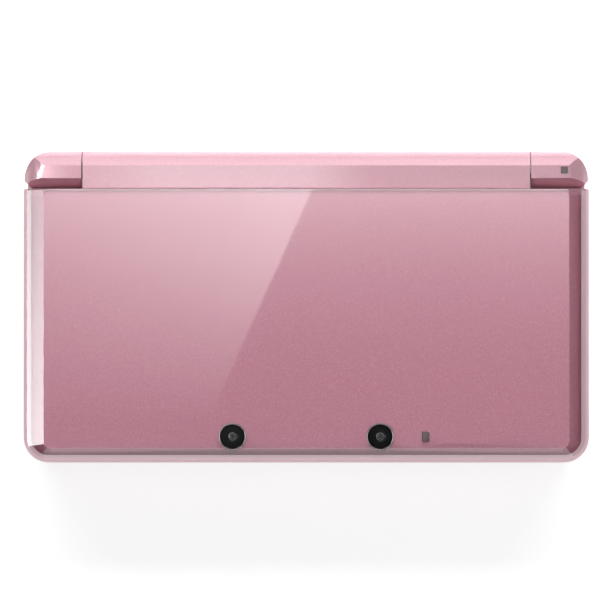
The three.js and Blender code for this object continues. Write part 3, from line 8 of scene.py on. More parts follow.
import bmesh
import bpy
from bpy.props import FloatProperty, FloatVectorProperty, PointerProperty
from bpy.types import Operator, Panel, PropertyGroup
from mathutils import Matrix, Vector

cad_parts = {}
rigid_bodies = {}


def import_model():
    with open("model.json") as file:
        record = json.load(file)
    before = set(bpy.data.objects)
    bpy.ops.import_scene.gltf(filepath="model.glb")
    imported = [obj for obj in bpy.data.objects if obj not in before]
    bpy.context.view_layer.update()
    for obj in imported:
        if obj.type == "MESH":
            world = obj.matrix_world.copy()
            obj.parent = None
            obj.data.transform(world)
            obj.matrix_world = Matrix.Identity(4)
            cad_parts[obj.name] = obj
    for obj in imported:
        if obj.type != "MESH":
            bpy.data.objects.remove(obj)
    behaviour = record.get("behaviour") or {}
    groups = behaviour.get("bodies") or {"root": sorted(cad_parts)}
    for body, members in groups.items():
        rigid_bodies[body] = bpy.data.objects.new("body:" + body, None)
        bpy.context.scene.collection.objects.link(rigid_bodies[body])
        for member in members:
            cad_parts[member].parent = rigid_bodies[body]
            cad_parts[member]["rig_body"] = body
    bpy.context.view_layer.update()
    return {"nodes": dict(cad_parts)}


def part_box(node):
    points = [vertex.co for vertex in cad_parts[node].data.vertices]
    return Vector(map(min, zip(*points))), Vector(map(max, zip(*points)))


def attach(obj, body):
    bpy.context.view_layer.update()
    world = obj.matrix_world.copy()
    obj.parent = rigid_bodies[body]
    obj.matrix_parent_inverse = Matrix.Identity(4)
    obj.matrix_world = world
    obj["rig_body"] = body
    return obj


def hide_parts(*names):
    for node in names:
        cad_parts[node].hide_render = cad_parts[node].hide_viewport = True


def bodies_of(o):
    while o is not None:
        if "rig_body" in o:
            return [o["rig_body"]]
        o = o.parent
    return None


bl_info = {
    "name": "Handheld console",
    "version": (1, 0, 0),
    "blender": (4, 5, 0),
    "location": "3D View > Sidebar > Console",
    "description": "Dresses the frame of a clamshell handheld game console",
    "category": "Object",
}

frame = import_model()
MM = 0.001
LEVEL = 0.01 * MM


# Places read from the frame

def low(node):
    return Vector(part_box(node)[0])


def high(node):
    return Vector(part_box(node)[1])


def centre_of(node):
    return (low(node) + high(node)) / 2


def radius_of(node):
    return (high(node).x - low(node).x) / 2


def body_of(node):
    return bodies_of(frame["nodes"][node])[0]


# Sizes and colours that a user would change

def size_property(name, description, default, least=0.00001):
    return FloatProperty(
        name=name, description=description, default=default, min=least,
        subtype="DISTANCE", unit="LENGTH", precision=5)


def strength_property(name, description, default, kind="NONE"):
    return FloatProperty(name=name, description=description, default=default, min=0, subtype=kind)


def colour_property(name, description, default):
    return FloatVectorProperty(
        name=name, description=description, default=default, size=3, min=0, max=1, subtype="COLOR")


class ConsoleFinishes(PropertyGroup):
    shell_colour: colour_property("Shell", "Pearl plastic of the housings", (0.66, 0.36, 0.43))
    panel_colour: colour_property("Panel", "Painted sheet under the clear cover", (0.50, 0.24, 0.305))
    # The rim colour is the pink paint under the clear rim, made paler than the panel as a painted highlight
    # for the light that the rim's rounding catches.
    rim_colour: colour_property("Rim", "Pale pearl band inside the clear rim", (0.76, 0.55, 0.60))
    flake_colour: colour_property("Flakes", "Pearl flakes in the plastic and the paint", (0.92, 0.72, 0.78))
    # The trim's muted, pink-tinted grey is partly the plated metal's own colour and partly a painted
    # reflection of the pink shell round the rings.
    trim_colour: colour_property("Trim", "Rings round the cameras", (0.44, 0.39, 0.40))
    control_colour: colour_property("Controls", "Buttons, pads and keys", (0.57, 0.34, 0.40))
    flake_size: size_property("Flake size", "Width of one pearl flake", 0.00011)
    grain_size: size_property("Grain size", "Width of one grain of the moulded texture", 0.00016)
    edge_round: size_property("Edge round", "Radius on the moulded edges", 0.00018)


class ConsoleSizes(PropertyGroup):
    ridge_round: size_property("Ridge rounding", "Where the lid's top turns down into its rim", 0.0004)
    paint_contact: size_property("Paint contact", "How far the panel goes into the clear cover", 0.00015)
    button_round: size_property("Button round", "Radius on the crown of a button", 0.00055)
    key_round: size_property("Key round", "Radius on the edge of a menu key", 0.0003)
    pad_dish: size_property("Pad dish", "Depth of the circle pad's dish", 0.0009)
    rib_pitch: size_property("Rib pitch", "From one rib of a slider to the next", 0.0006)
    rib_proud: size_property("Rib height", "How far a slider's rib stands out", 0.00012)
    gauze_pitch: size_property("Gauze pitch", "Between the wires of the speaker gauze", 0.0003)
    gauze_wire: size_property("Gauze wire", "Radius of a wire of the speaker gauze", 0.00005)
    recess_depth: size_property("Screw recess", "Depth of the cross in a screw's head", 0.0006)
    recess_width: size_property("Screw slot", "Width of one slot of the cross", 0.0005)
    mark_depth: size_property("Mark height", "How far the direction pad's marks stand out", 0.00004)


class ConsoleStage(PropertyGroup):
    camera_height: size_property("Camera height", "From the lid to the camera", 1.2, 0.3)
    view_width: size_property("View width", "Width seen at the lid's level", 0.1449, 0.05)
    floor_width: size_property("Floor width", "Side of the square floor", 4.0, 1.0)
    world_strength: strength_property("World", "Strength of the plain world light", 0.4)
    back_power: strength_property("Back lamp", "Power of the wide lamp behind the hinge", 0.9, "POWER")
    side_power: strength_property("Side lamp", "Power of the lamp at the right", 0.38, "POWER")
    card_strength: strength_property("Cards", "Brightness of the cards that the lid mirrors", 4.0)


# Node trees

def link(tree, start, end):
    tree.links.new(start, end)


def set_values(entries, **values):
    """Writes plain values to the entries of these names, with spaces for underlines."""
    for name, value in values.items():
        entries[name.replace("_", " ")].default_value = value


def feed(tree, value, entry):
    """Links an output to an entry, or writes a plain value there."""
    if isinstance(value, bpy.types.NodeSocket):
        tree.links.new(value, entry)
    else:
        entry.default_value = value


def maths(tree, operation, *values, clamp=False):
    node = tree.nodes.new("ShaderNodeMath")
    node.operation = operation
    node.use_clamp = clamp
    for value, entry in zip(values, node.inputs):
        feed(tree, value, entry)
    return node.outputs[0]


def mix_colours(tree, share, first, second):
    node = tree.nodes.new("ShaderNodeMix")
    node.data_type = "RGBA"
    feed(tree, share, node.inputs["Factor"])
    feed(tree, first, node.inputs["A"])
    feed(tree, second, node.inputs["B"])
    return node.outputs["Result"]


def split_vector(tree, vector):
    node = tree.nodes.new("ShaderNodeSeparateXYZ")
    link(tree, vector, node.inputs[0])
    return node.outputs


def added(tree, kind, **values):
    """The first output of a new node, whose entries are linked or written by name."""
    node = tree.nodes.new(kind)
    for name, value in values.items():
        feed(tree, value, node.inputs[name.replace("_", " ")])
    return node.outputs[0]


def noise(tree, vector, scale, detail=2.0):
    return added(tree, "ShaderNodeTexNoise", Vector=vector, Scale=scale, Detail=detail)


def vector_maths(tree, operation, first, second):
    node = tree.nodes.new("ShaderNodeVectorMath")
    node.operation = operation
    feed(tree, first, node.inputs[0])
    feed(tree, second, node.inputs["Scale"] if operation == "SCALE" else node.inputs[1])
    return node.outputs[0]


def vector_of(tree, values):
    """A vector from values by axis; an axis without a value is 0."""
    node = tree.nodes.new("ShaderNodeCombineXYZ")
    for axis, value in values.items():
        feed(tree, value, node.inputs[axis])
    return node.outputs[0]


def length_of(tree, across, along):
    """The length of two parts that stand at right angles."""
    squares = [maths(tree, "MULTIPLY", part, part) for part in (across, along)]
    return maths(tree, "SQRT", maths(tree, "ADD", *squares))


FLOAT = "NodeSocketFloat"
COLOUR = "NodeSocketColor"
VECTOR = "NodeSocketVector"
MATERIAL = "NodeSocketMaterial"
KINDS = {int: "NodeSocketInt", float: FLOAT, tuple: COLOUR}
MID_GREY = (0.5, 0.5, 0.5, 1)


def new_group(name, kind, entries, results):
    """A node group and its two ends. Each entry comes with its default, or with its kind alone."""
    tree = bpy.data.node_groups.new(name, kind)
    for label, default in entries.items():
        bare = isinstance(default, str)
        entry = tree.interface.new_socket(
            label, in_out="INPUT", socket_type=default if bare else KINDS[type(default)])
        if not bare:
            entry.default_value = default
    for label, socket_type in results.items():
        tree.interface.new_socket(label, in_out="OUTPUT", socket_type=socket_type)
    return tree, tree.nodes.new("NodeGroupInput").outputs, tree.nodes.new("NodeGroupOutput").inputs


def shader_group(name, entries, results):
    return new_group(name, "ShaderNodeTree", {"Vector": VECTOR, **entries}, results)


def made_once(make):
    """Has a node group made at its first use only. Its name is the function's, with spaces."""
    name = make.__name__.replace("_", " ")

    def find_or_make():
        return bpy.data.node_groups.get(name) or make(name)
    return find_or_make


# Effects that several materials share

@made_once
def moulded_grain(name):
    """The fine texture of a moulded or cast surface, with broad soft unevenness."""
    tree, entries, results = shader_group(
        name,
        {"Colour": MID_GREY, "Roughness": 0.4, "Grains per metre": 6000.0, "Colour change": 0.06,
         "Roughness change": 0.08},
        {"Colour": COLOUR, "Roughness": FLOAT, "Height": FLOAT})
    patches_per_metre = 55.0
    fine = noise(tree, entries["Vector"], entries["Grains per metre"], detail=3.0)
    broad = noise(tree, entries["Vector"], patches_per_metre)
    uneven = maths(tree, "SUBTRACT", maths(tree, "ADD", fine, broad), 1.0)
    shade = maths(tree, "MULTIPLY_ADD", uneven, entries["Colour change"], 1.0)
    rough = maths(tree, "MULTIPLY_ADD", uneven, entries["Roughness change"], entries["Roughness"])
    link(tree, vector_maths(tree, "SCALE", entries["Colour"], shade), results["Colour"])
    link(tree, rough, results["Roughness"])
    link(tree, fine, results["Height"])
    return tree


@made_once
def pearl_flakes(name):
    """Flakes in a pearl paint: each cell has its own brightness and leans its own way."""
    tree, entries, results = shader_group(
        name,
        {"Colour": MID_GREY, "Flake colour": (0.9, 0.8, 0.85, 1), "Flakes per metre": 9000.0, "Share": 0.35},
        {"Colour": COLOUR, "Height": FLOAT})
    cells = tree.nodes.new("ShaderNodeTexVoronoi")
    link(tree, entries["Vector"], cells.inputs["Vector"])
    link(tree, entries["Flakes per metre"], cells.inputs["Scale"])
    parts = tree.nodes.new("ShaderNodeSeparateColor")
    link(tree, cells.outputs["Color"], parts.inputs[0])
    chosen = maths(tree, "LESS_THAN", parts.outputs[0], entries["Share"])
    brightest = 0.25
    amount = maths(tree, "MULTIPLY", maths(tree, "MULTIPLY", chosen, parts.outputs[1]), brightest)
    link(tree, mix_colours(tree, amount, entries["Colour"], entries["Flake colour"]), results["Colour"])
    link(tree, maths(tree, "MULTIPLY", chosen, parts.outputs[2]), results["Height"])
    return tree


@made_once
def handling_marks(name):
    """Hairline scratches and smudges that a handled surface picks up, as added roughness."""
    tree, entries, results = shader_group(
        name, {"Roughness": 0.1, "Amount": 0.05}, {"Roughness": FLOAT})
    smudges_per_metre, hair_from = 38.0, 0.78
    smudge = noise(tree, entries["Vector"], smudges_per_metre, detail=4.0)
    across, along = [
        noise(tree, vector_maths(tree, "MULTIPLY", entries["Vector"], shares), 1.0, detail=1.0)
        for shares in ((400.0, 9000.0, 4000.0), (9000.0, 300.0, 4000.0))]
    hair = maths(tree, "GREATER_THAN", maths(tree, "MAXIMUM", across, along), hair_from)
    worn = maths(tree, "ADD", maths(tree, "SUBTRACT", smudge, 0.5), hair)
    rough = maths(tree, "MULTIPLY_ADD", worn, entries["Amount"], entries["Roughness"])
    link(tree, rough, results["Roughness"])
    return tree


@made_once
def brushed_lines(name):
    """Fine parallel lines along X, as on brushed metal or paint laid over it."""
    tree, entries, results = shader_group(
        name, {"Colour": MID_GREY, "Amount": 0.1, "Lines per metre": 7000.0},
        {"Colour": COLOUR, "Height": FLOAT})
    drawn_out = vector_maths(tree, "MULTIPLY", entries["Vector"], (0.012, 1.0, 1.0))
    lines = noise(tree, vector_maths(tree, "SCALE", drawn_out, entries["Lines per metre"]), 1.0)
    shade = maths(tree, "MULTIPLY_ADD", maths(tree, "SUBTRACT", lines, 0.5), entries["Amount"], 1.0)
    link(tree, vector_maths(tree, "SCALE", entries["Colour"], shade), results["Colour"])
    link(tree, lines, results["Height"])
    return tree


@made_once
def window_mask(name):
    """1 inside a rounded window that lies flat, 0 outside it."""
    tree, entries, results = shader_group(
        name,
        {"Centre X": 0.0, "Centre Y": 0.0, "Half width": 0.03, "Half depth": 0.02, "Corner": 0.001,
         "Softness": 0.00005},
        {"Mask": FLOAT})
    axes = split_vector(tree, entries["Vector"])
    reach = []
    for axis, centre, half in ((0, "Centre X", "Half width"), (1, "Centre Y", "Half depth")):
        away = maths(tree, "ABSOLUTE", maths(tree, "SUBTRACT", axes[axis], entries[centre]))
        beyond = maths(tree, "ADD", maths(tree, "SUBTRACT", away, entries[half]), entries["Corner"])
        reach.append(maths(tree, "MAXIMUM", beyond, 0.0))
    distance = maths(tree, "SUBTRACT", length_of(tree, *reach), entries["Corner"])
    outside = maths(tree, "DIVIDE", distance, entries["Softness"])
    link(tree, maths(tree, "SUBTRACT", 1.0, outside, clamp=True), results["Mask"])
    return tree


def use_group(tree, group, vector, **values):
    node = tree.nodes.new("ShaderNodeGroup")
    node.node_tree = group
    link(tree, vector, node.inputs["Vector"])
    for name, value in values.items():
        feed(tree, value, node.inputs[name.replace("_", " ")])
    return node.outputs


# Finishes

def found_by_name(make):
    """Has a material made at its first use only, and found by its name after that."""
    def find_or_make(name, *values, **settings):
        return bpy.data.materials.get(name) or make(name, *values, **settings)
    return find_or_make


def object_place(tree):
    return tree.nodes.new("ShaderNodeTexCoord").outputs["Object"]


def bare_material(name, kind):
    """A material whose surface is one shader node of this kind."""
    material = bpy.data.materials.new(name)
    material.use_nodes = True
    tree = material.node_tree
    tree.nodes.clear()
    shader = tree.nodes.new(kind)
    link(tree, shader.outputs[0], tree.nodes.new("ShaderNodeOutputMaterial").inputs["Surface"])
    return material, tree, shader.inputs


def new_material(name):
    """A material, its node tree, its shader's entries and the place on the object."""
    material, tree, entries = bare_material(name, "ShaderNodeBsdfPrincipled")
    return material, tree, entries, object_place(tree)


def handled(tree, place, entries, roughness, amount):
    """Writes a roughness with this amount of handling marks."""
    marks = use_group(tree, handling_marks(), place, Roughness=roughness, Amount=amount)
    link(tree, marks["Roughness"], entries["Roughness"])


def bumped(tree, height, distance, entry):
    link(tree, added(tree, "ShaderNodeBump", Strength=1.0, Distance=distance, Height=height), entry)


def seen_by(tree, *rays):
    """1 for rays of these kinds and 0 for others."""
    kinds = tree.nodes.new("ShaderNodeLightPath").outputs
    share = kinds["Is " + rays[0] + " Ray"]
    for ray in rays[1:]:
        share = maths(tree, "MAXIMUM", share, kinds["Is " + ray + " Ray"])
    return share


def finishes():
    return bpy.context.scene.console_finishes


@found_by_name
def grained(name, colour, roughness, height=0.000006, metallic=0.0, coat=0.0, specular=0.5,
            colour_change=0.06):
    """Plastic, rubber or cast metal with the moulded grain and a few handling marks."""
    material, tree, entries, place = new_material(name)
    grain = use_group(
        tree, moulded_grain(), place, Colour=(*colour, 1), Roughness=roughness,
        Grains_per_metre=1 / finishes().grain_size, Colour_change=colour_change)
    handled(tree, place, entries, roughness=grain["Roughness"], amount=0.05)
    link(tree, grain["Colour"], entries["Base Color"])
    bumped(tree, grain["Height"], height, entries["Normal"])
    set_values(
        entries, Metallic=metallic, Specular_IOR_Level=specular, Coat_Weight=coat, Coat_Roughness=0.04)
    return material


@found_by_name
def pearl(name, colour, metallic, roughness, coat=0.0, share=0.3, brushing=0.0, specular=0.5):
    """Pearl plastic or paint: flakes in the colour, faint lines along X, a clear coat over both."""
    material, tree, entries, place = new_material(name)
    flakes = use_group(
        tree, pearl_flakes(), place, Colour=(*colour, 1), Flake_colour=(*finishes().flake_colour, 1),
        Flakes_per_metre=1 / finishes().flake_size, Share=share)
    lines = use_group(tree, brushed_lines(), place, Colour=flakes["Colour"], Amount=brushing)
    handled(tree, place, entries, roughness=roughness, amount=0.04)
    link(tree, lines["Colour"], entries["Base Color"])
    bumped(tree, flakes["Height"], 0.0000006, entries["Normal"])
    set_values(
        entries, Metallic=metallic, Specular_IOR_Level=specular, Coat_Weight=coat, Coat_Roughness=0.03)
    return material


def shell_finish():
    return pearl("shell_plastic", finishes().shell_colour, metallic=0.25, roughness=0.34, coat=1.0,
                 brushing=0.02)


def panel_finish():
    return pearl("panel_paint", finishes().panel_colour, metallic=0.35, roughness=0.4, brushing=0.05,
                 specular=0.0)


# Pearl paint under the clear rim, made pale as a painted highlight for the light that the rim's rounding
# catches.
def rim_finish():
    return pearl("rim_paint", finishes().rim_colour, metallic=0.75, roughness=0.36, specular=0.3)


def control_finish():
    return pearl("control_plastic", finishes().control_colour, metallic=0.2, roughness=0.3, coat=0.5,
                 share=0.25)


@found_by_name
def clear_plastic(name):
    """Clear polycarbonate; its steep cut edges get a grey tint, a painted shade for the dark line that
    refraction gives there, and lamps shine through it.
    """
    material, tree, entries, place = new_material(name)
    shader, surface = tree.links[0].from_socket, tree.links[0].to_socket
    leaning = tree.nodes.new("ShaderNodeTexCoord").outputs["Normal"]
    slope = maths(tree, "ABSOLUTE", split_vector(tree, leaning)[2])
    clear_from = 0.62
    steep = maths(tree, "SUBTRACT", 1.0, maths(tree, "DIVIDE", slope, clear_from), clamp=True)
    # The grey tint on faces steeper than clear_from is painted shade, not a colour of the plastic.
    level_tint, steep_painted_shade = (1.0, 0.985, 0.988, 1), (0.86, 0.80, 0.82, 1)
    link(tree, mix_colours(tree, steep, level_tint, steep_painted_shade), entries["Base Color"])
    handled(tree, place, entries, roughness=0.015, amount=0.005)
    set_values(entries, Transmission_Weight=1, IOR=1.54)
    clear = tree.nodes.new("ShaderNodeBsdfTransparent")
    clear.inputs["Color"].default_value = (0.95, 0.93, 0.935, 1)
    mix = tree.nodes.new("ShaderNodeMixShader")
    link(tree, seen_by(tree, "Shadow"), mix.inputs[0])
    link(tree, shader, mix.inputs[1])
    link(tree, clear.outputs["BSDF"], mix.inputs[2])
    link(tree, mix.outputs[0], surface)
    return material


def gloss_black():
    return grained("gloss_black_plastic", (0.006, 0.006, 0.007), 0.1, 0.0000005, specular=0.25)


def matt_black():
    return grained("matt_black_plastic", (0.022, 0.022, 0.024), 0.5, 0.000012, specular=0.4)


@found_by_name
def screen(name, node, half_width, half_depth, corner, glow):
    """A black glass with the slightly paler picture area of a dark display behind it."""
    material, tree, entries, place = new_material(name)
    middle = centre_of(node)
    window = use_group(
        tree, window_mask(), place, Centre_X=middle.x, Centre_Y=middle.y, Half_width=half_width,
        Half_depth=half_depth, Corner=corner)
    dots_per_metre, contrast, border = 16000.0, 1.3, (0.004, 0.004, 0.005, 1)
    dots = noise(tree, place, dots_per_metre, detail=0.0)
    picture = mix_colours(tree, dots, (*glow, 1), (*[part * contrast for part in glow], 1))
    link(tree, mix_colours(tree, window["Mask"], border, picture), entries["Base Color"])
    handled(tree, place, entries, roughness=0.05, amount=0.05)
    set_values(entries, Specular_IOR_Level=0.4)
    return material


def upper_screen():
    return screen("upper_screen", "upper_display", 0.0384, 0.0230, 0.0006, (0.020, 0.022, 0.027))


def touch_screen():
    return screen("touch_screen", "touch_screen_glass", 0.0308, 0.0231, 0.0006, (0.024, 0.026, 0.030))


def display_finish():
    return screen("display", "lower_display", 0.0308, 0.0205, 0.0003, (0.03, 0.032, 0.036))


# Plated metal whose colour holds a painted reflection: a slight pink tint for the pink shell round the rings.
def silver_finish():
    return grained("plated_trim", finishes().trim_colour, 0.28, 0.000001, metallic=1.0, colour_change=0.03)


@found_by_name
def brushed_metal(name):
    material, tree, entries, place = new_material(name)
    lines = use_group(
        tree, brushed_lines(), place, Colour=(0.46, 0.46, 0.48, 1), Amount=0.35, Lines_per_metre=9000.0)
    handled(tree, place, entries, roughness=0.3, amount=0.2)
    link(tree, lines["Colour"], entries["Base Color"])
    bumped(tree, lines["Height"], 0.000003, entries["Normal"])
    set_values(entries, Metallic=1)
    return material


def steel_finish():
    return brushed_metal("bright_steel")


def gold_finish():
    return grained("gold_contact", (0.83, 0.58, 0.24), 0.25, 0.000001, metallic=1.0, colour_change=0.08)


def rubber_finish():
    return grained("foot_rubber", (0.075, 0.072, 0.075), 0.72, 0.00002, specular=0.3)


def silicone_finish():
    return grained("button_silicone", (0.35, 0.35, 0.37), 0.6, 0.000012, specular=0.35)


def white_finish():
    return grained("pale_plastic", (0.62, 0.60, 0.61), 0.34, 0.000006)


def light_finish():
    return grained("light_guide", (0.17, 0.125, 0.13), 0.2, 0.000002, coat=0.4, colour_change=0.25)


def chip_finish():
    return grained("chip_plastic", (0.018, 0.018, 0.02), 0.42, 0.00001, colour_change=0.15)


def label_finish():
    return grained("battery_wrap", (0.10, 0.10, 0.115), 0.33, 0.000004, coat=0.3)


@found_by_name
def board_lacquer(name):
    """Green lacquer over copper tracks that run across and along the board."""
    material, tree, entries, place = new_material(name)
    track_width, patches_per_metre = 0.24, 60.0
    tracks = []
    for shares in ((140.0, 900.0, 1.0), (900.0, 140.0, 1.0)):
        cells = tree.nodes.new("ShaderNodeTexVoronoi")
        cells.distance = "CHEBYCHEV"
        set_values(cells.inputs, Scale=1.0, Randomness=0.6)
        link(tree, vector_maths(tree, "MULTIPLY", place, shares), cells.inputs["Vector"])
        tracks.append(maths(tree, "LESS_THAN", cells.outputs["Distance"], track_width))
    copper = maths(tree, "MAXIMUM", *tracks)
    dark, light, over_copper = (0.010, 0.085, 0.040, 1), (0.014, 0.115, 0.055, 1), (0.04, 0.26, 0.12, 1)
    lacquer = mix_colours(tree, noise(tree, place, patches_per_metre), dark, light)
    shade = mix_colours(tree, maths(tree, "MULTIPLY", copper, 0.5), lacquer, over_copper)
    link(tree, shade, entries["Base Color"])
    handled(tree, place, entries, roughness=0.3, amount=0.06)
    bumped(tree, copper, 0.00002, entries["Normal"])
    return material


@found_by_name
def camera_eye(name, radius):
    """A grey lens with a dark pupil, at both outer cameras alike."""
    material, tree, entries, place = new_material(name)
    axes = split_vector(tree, place)
    centre = centre_of("camera_lens_right")
    across = maths(tree, "SUBTRACT", maths(tree, "ABSOLUTE", axes[0]), centre.x)
    along = maths(tree, "SUBTRACT", axes[1], centre.y)
    away = maths(tree, "DIVIDE", length_of(tree, across, along), radius, clamp=True)
    shades = tree.nodes.new("ShaderNodeValToRGB")
    link(tree, away, shades.inputs[0])
    ramp = shades.color_ramp
    for share, shade in ((0.0, 0.022), (0.22, 0.026), (0.4, 0.062), (0.85, 0.05), (1.0, 0.012)):
        stop = ramp.elements.new(share) if share not in (0.0, 1.0) else ramp.elements[int(share)]
        stop.color = (shade, shade * 0.95, shade * 0.97, 1)
    link(tree, shades.outputs[0], entries["Base Color"])
    handled(tree, place, entries, roughness=0.12, amount=0.02)
    set_values(entries, Specular_IOR_Level=0.3)
    return material


# Meshes

def as_object(name, data):
    piece = bpy.data.objects.new(name, data)
    bpy.context.scene.collection.objects.link(piece)
    return piece


def built(name, made, ridge=None):
    """The finished shape as an object, smooth but for ridges of more than so many degrees."""
    data = bpy.data.meshes.new(name)
    made.to_mesh(data)
    made.free()
    piece = as_object(name, data)
    if ridge:
        data.shade_smooth()
        data.set_sharp_from_angle(angle=math.radians(ridge))
    return piece


def baked(piece):
    """The evaluated object as a plain mesh, with its modifiers gone."""
    graph = bpy.context.evaluated_depsgraph_get()
    mesh = bpy.data.meshes.new_from_object(
        piece.evaluated_get(graph), preserve_all_data_layers=True, depsgraph=graph)
    piece.modifiers.clear()
    piece.data = mesh
    return piece


def settle(piece, finish, body, *nodes, slot=None):
    """Gives a finished piece its finish, its body and the CAD nodes it stands for."""
    piece.data.materials.clear()
    piece.data.materials.append(finish)
    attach(piece, body)
    if nodes:
        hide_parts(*nodes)
    return piece


# Degrees between two facets from which their ridge stays crisp, on a CAD copy and on other shapes
RIDGE = 16.5
CREASE = 35


def copied(node):
    """A copy of a CAD node's mesh, with its loose triangles joined into whole faces."""
    same_place, same_plane = 0.002 * MM, math.radians(0.6)
    made = bmesh.new()
    made.from_mesh(frame["nodes"][node].data)
    bmesh.ops.remove_doubles(made, verts=made.verts, dist=same_place)
    bmesh.ops.dissolve_limit(made, angle_limit=same_plane, verts=made.verts, edges=made.edges)
    return made


def softened(node, name, finish, width, angle=30, segments=2, slot=None, prepare=None):
    """A copy of a CAD node with its edges rounded, which then stands for the node."""
    made = copied(node)
    if prepare:
        prepare(made)
    for face in made.faces:
        face.smooth = True
    for edge in made.edges:
        turn = math.degrees(edge.calc_face_angle(0.0))
        edge.smooth = not RIDGE < turn < angle
    piece = built(name, made)
    if width > 0:
        rounding = piece.modifiers.new("edges", "BEVEL")
        rounding.width, rounding.segments = width, segments
        rounding.limit_method, rounding.angle_limit = "ANGLE", math.radians(angle)
    else:
        piece.data.set_sharp_from_angle(angle=math.radians(angle))
    level = piece.modifiers.new("normals", "WEIGHTED_NORMAL")
    level.mode, level.weight, level.keep_sharp = "FACE_AREA", 100, True
    return settle(baked(piece), finish, body_of(node), node, slot=slot)


def lathed(name, centre, profile, steps=64):
    """A turned shape about a vertical axis, from (radius, height) pairs once round its outline."""
    made = bmesh.new()
    rings = []
    turns = [2 * math.pi * step / steps for step in range(steps)]
    for radius, height in profile:
        if radius < LEVEL / 10:
            rings.append([made.verts.new((centre[0], centre[1], height))])
            continue
        rings.append([
            made.verts.new((centre[0] + radius * math.cos(turn), centre[1] + radius * math.sin(turn), height))
            for turn in turns])
    pairs = list(zip(rings, rings[1:]))
    if len(rings[0]) > 1 and len(rings[-1]) > 1:
        pairs.append((rings[-1], rings[0]))
    for first, second in pairs:
        for step in range(steps):
            corners = [first[step % len(first)], first[(step + 1) % len(first)],
                       second[(step + 1) % len(second)], second[step % len(second)]]
            corners = list(dict.fromkeys(corners))
            if len(corners) > 2:
                made.faces.new(corners)
    bmesh.ops.recalc_face_normals(made, faces=made.faces)
    return built(name, made, CREASE)


def turned_along_y(name, middle, profile, steps=48):
    """A turned shape whose axis runs through middle from front to back."""
    piece = lathed(name, (0, 0), profile, steps)
    piece.data.transform(Matrix(((0, 1, 0, middle.x), (0, 0, 1, 0), (1, 0, 0, middle.z), (0, 0, 0, 1))))
    return piece


def turned_along_x(name, middle, profile, steps=48):
    """A turned shape whose axis runs through middle from left to right."""
    piece = lathed(name, (0, 0), profile, steps)
    piece.data.transform(Matrix(((0, 0, 1, 0), (1, 0, 0, middle.y), (0, 1, 0, middle.z), (0, 0, 0, 1))))
    return piece


def add_bar(made, sections):
    """Adds a closed bar through sections of one count of corners, with flat ends."""
    rings = [[made.verts.new(place) for place in section] for section in sections]
    for first, second in zip(rings, rings[1:]):
        for corner in range(len(first)):
            after = (corner + 1) % len(first)
            made.faces.new((first[corner], first[after], second[after], second[corner]))
    made.faces.new(rings[0])
    made.faces.new(rings[-1])


def add_plate(made, outline, bottom, top):
    """Adds an upright plate with this outline of (x, y) pairs."""
    add_bar(made, [[(x, y, height) for x, y in outline] for height in (bottom, top)])


def rounded_outline(left, right, front, back, radius, steps=8):
    """A rounded rectangle as (x, y) pairs, anticlockwise."""
    points = []
    corners = ((right - radius, back - radius), (left + radius, back - radius),
               (left + radius, front + radius), (right - radius, front + radius))
    for corner, (x, y) in enumerate(corners):
        for step in range(steps + 1):
            turn = math.pi / 2 * (corner + step / steps)
            points.append((x + radius * math.cos(turn), y + radius * math.sin(turn)))
    return points


def merged(name, parts):
    """Several objects as one, at the origin."""
    made = bmesh.new()
    for part in parts:
        made.from_mesh(part.data)
        bpy.data.objects.remove(part)
    return built(name, made, CREASE)


# Geometry Nodes for what repeats

def instanced(tree, points, shape, material, smooth=True):
    """Copies of one shape on points, made real and given their finish."""
    spread = added(tree, "GeometryNodeInstanceOnPoints", Points=points, Instance=shape)
    return realized(tree, spread, material, smooth)


def realized(tree, instances, material, smooth=True):
    real = added(tree, "GeometryNodeRealizeInstances", Geometry=instances)
    shade = added(tree, "GeometryNodeSetShadeSmooth", Geometry=real, Shade_Smooth=smooth)
    return added(tree, "GeometryNodeSetMaterial", Geometry=shade, Material=material)


def joined(tree, *parts):
    node = tree.nodes.new("GeometryNodeJoinGeometry")
    for part in parts:
        link(tree, part, node.inputs["Geometry"])
    return node.outputs["Geometry"]


def wire(tree, start, end, radius, sides=8):
    """A round bar from start to end with closed ends."""
    path = added(tree, "GeometryNodeCurvePrimitiveLine", Start=start, End=end)
    ring = added(tree, "GeometryNodeCurvePrimitiveCircle", Resolution=sides, Radius=radius)
    return added(tree, "GeometryNodeCurveToMesh", Curve=path, Profile_Curve=ring, Fill_Caps=True)


def line_of_points(tree, count, start, step):
    return added(tree, "GeometryNodeMeshLine", Count=count, Start_Location=start, Offset=step)


def geometry_group(name, entries):
    tree, sources, results = new_group(
        name, "GeometryNodeTree", {**entries, "Material": MATERIAL}, {"Geometry": "NodeSocketGeometry"})
    return tree, sources, results["Geometry"]


@made_once
def rib_row(name):
    """Round ribs side by side, each lying along one vector."""
    tree, entries, result = geometry_group(name, {
        "Count": 5, "Start": VECTOR, "Step": VECTOR, "Along": VECTOR, "Radius": 0.0002})
    ends = [vector_maths(tree, "SCALE", entries["Along"], share) for share in (-0.5, 0.5)]
    rib = wire(tree, *ends, entries["Radius"])
    points = line_of_points(tree, entries["Count"], entries["Start"], entries["Step"])
    link(tree, instanced(tree, points, rib, entries["Material"]), result)
    return tree


@made_once
def woven_gauze(name):
    """A flat sheet of crossed wires."""
    tree, entries, result = geometry_group(name, {
        "Corner": VECTOR, "Columns": 10, "Rows": 10, "Pitch": 0.0003, "Wire": 0.00005})
    sheets = []
    for counted, crossed, axis in (("Columns", "Rows", 0), ("Rows", "Columns", 1)):
        step = vector_of(tree, {axis: entries["Pitch"]})
        reach = vector_of(tree, {1 - axis: maths(tree, "MULTIPLY", entries[crossed], entries["Pitch"])})
        bar = wire(tree, (0, 0, 0), reach, entries["Wire"], 5)
        points = line_of_points(tree, entries[counted], entries["Corner"], step)
        sheets.append(instanced(tree, points, bar, entries["Material"]))
    link(tree, joined(tree, *sheets), result)
    return tree


